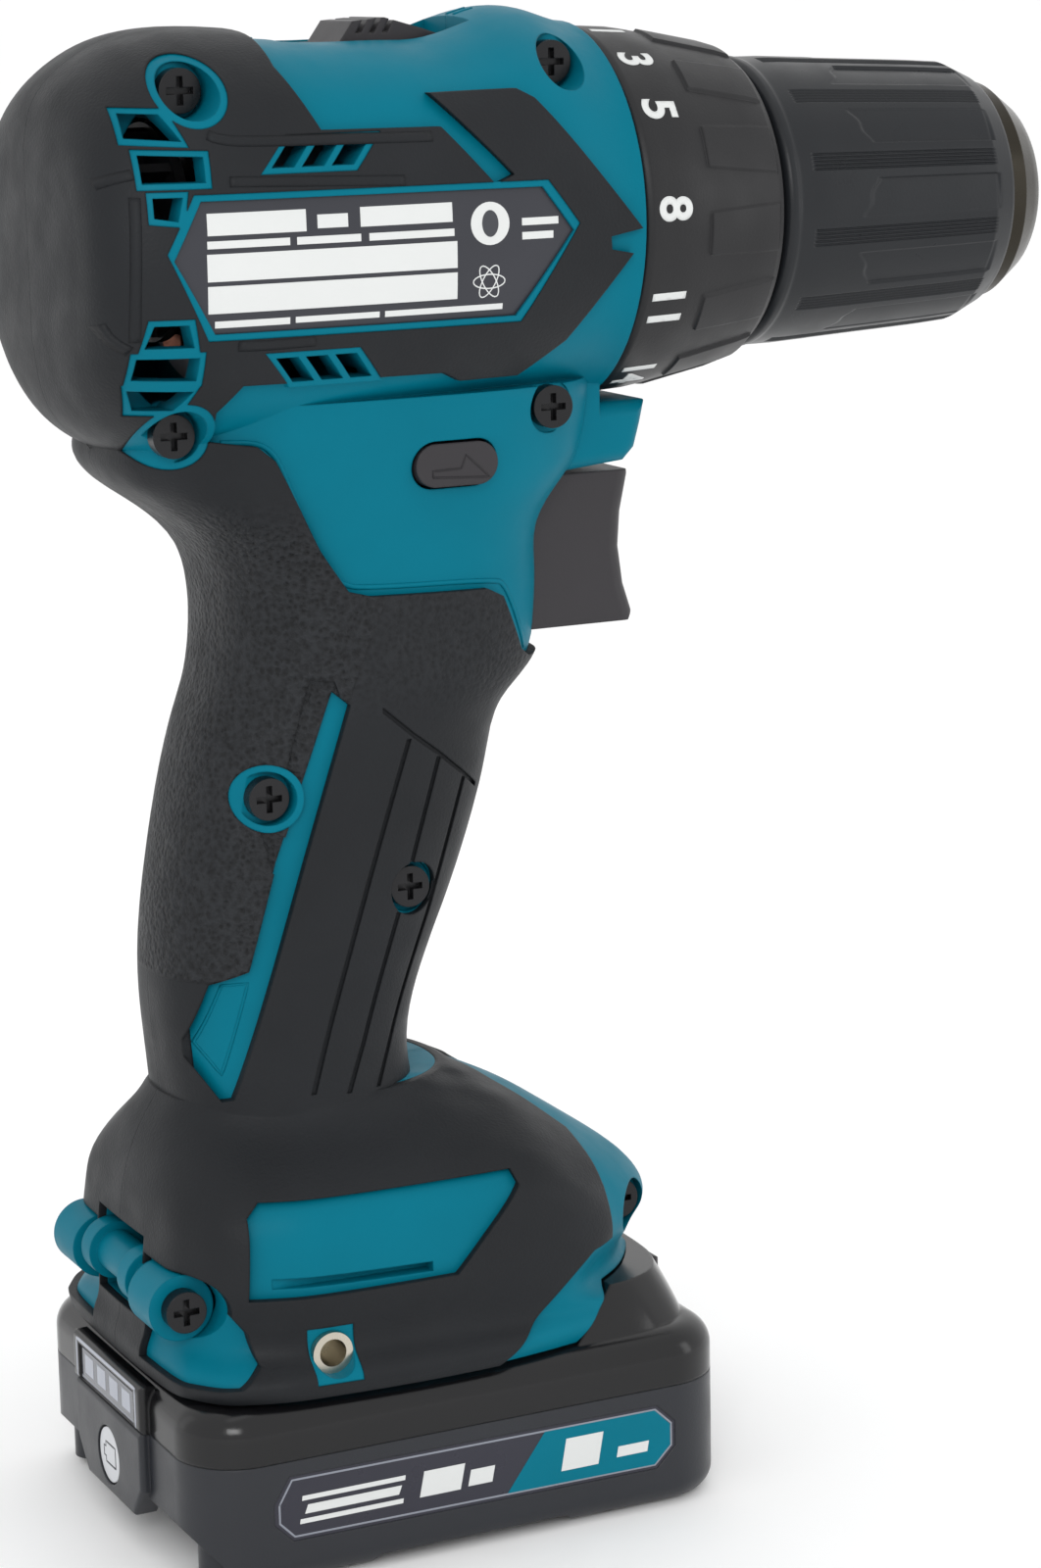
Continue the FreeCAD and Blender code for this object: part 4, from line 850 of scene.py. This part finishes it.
def add_seam(prints_used):
    """The parting line between the two halves of the housing."""
    skin = skin_of("housing_right", "housing_left", "grip_right", "grip_left")
    for number, (side, line) in enumerate(SEAM_RUNS):
        bead(f"seam_{number}", line, side, skin, prints_used["seam"], "housing", 0.22, 0.02)


GAUGE_RIM = ((-12.1, 19.2), (12.1, 19.2), (12.1, 24.9), (-12.1, 24.9))
GAUGE_COUNT = 4
GAUGE_PITCH = 5.1
GAUGE_BAR_HALF = 1.7
GAUGE_LOW, GAUGE_HIGH = 20.3, 23.2
CELL_MARK = ((-2.3, 9.3), (1.6, 9.3), (1.6, 10.1), (2.4, 10.1), (2.4, 11.6), (1.6, 11.6), (1.6, 12.4),
             (-2.3, 12.4))


def add_gauge_marks(prints_used):
    """A pale rim and four bars on the charge gauge, and a cell on its button."""
    grey, dark = prints_used["pale"], prints_used["dark"]
    window = skin_of("gauge_window")
    cover = skin_of("battery_cover")
    button = skin_of("gauge_button")
    bead("gauge_rim", loop_line(GAUGE_RIM), REAR, cover, grey, "battery", 0.5, 0.12)
    for number in range(GAUGE_COUNT):
        middle = GAUGE_PITCH * (number - (GAUGE_COUNT - 1) / 2)
        outline = bar(middle - GAUGE_BAR_HALF, middle + GAUGE_BAR_HALF, GAUGE_LOW, GAUGE_HIGH)
        decal(f"gauge_bar_{number}", outline, REAR, window, grey, "battery")
    bead("button_cell", loop_line(CELL_MARK), REAR, button, dark, "check_button", 0.4, 0.08)


ARROW = ((-27.9, 152.6), (-19.2, 152.1), (-22.8, 155.4), (-23.6, 153.6), (-27.9, 153.5))


def add_lever_arrows(materials):
    """A raised arrow on each end of the reversing lever."""

    def arrow(name, side, skin):
        bead(name, loop_line(ARROW), side, skin, materials["control_plastic"], "reversing_lever", 0.35, 0.16)

    two_sides(arrow, "lever_arrow", "direction_lever")


SPEED_MARKS = ((-45.0, 0.0), (-12.0, -1.2), (-12.0, 1.2))
SPEED_MARK_HALF = 1.4


def add_speed_marks(materials):
    """One pip behind the selector for the low speed and two ahead for the high one."""
    skin = skin_of("housing_right", "housing_left", "grip_right", "grip_left")
    teal = materials["teal_plastic"]
    for number, (x, y) in enumerate(SPEED_MARKS):
        line = ((x - SPEED_MARK_HALF, y), (x + SPEED_MARK_HALF, y))
        bead(f"speed_mark_{number}", line, TOP, skin, teal, "housing", 0.9, 0.25)


# ---- Making it all ----

add_camera()
add_studio()
materials = make_materials()
add_floor()
finish_cad_pieces(materials)
prints_made = make_prints()
add_sleeve(materials)
add_clutch_ring(materials)
add_ring_digits(prints_made["white"])
add_teal_ridges(materials)
add_rubber_relief(materials)
add_plate_prints(prints_made)
add_label_prints(prints_made)
add_gauge_marks(prints_made)
add_seam(prints_made)
add_lever_arrows(materials)
add_speed_marks(materials)
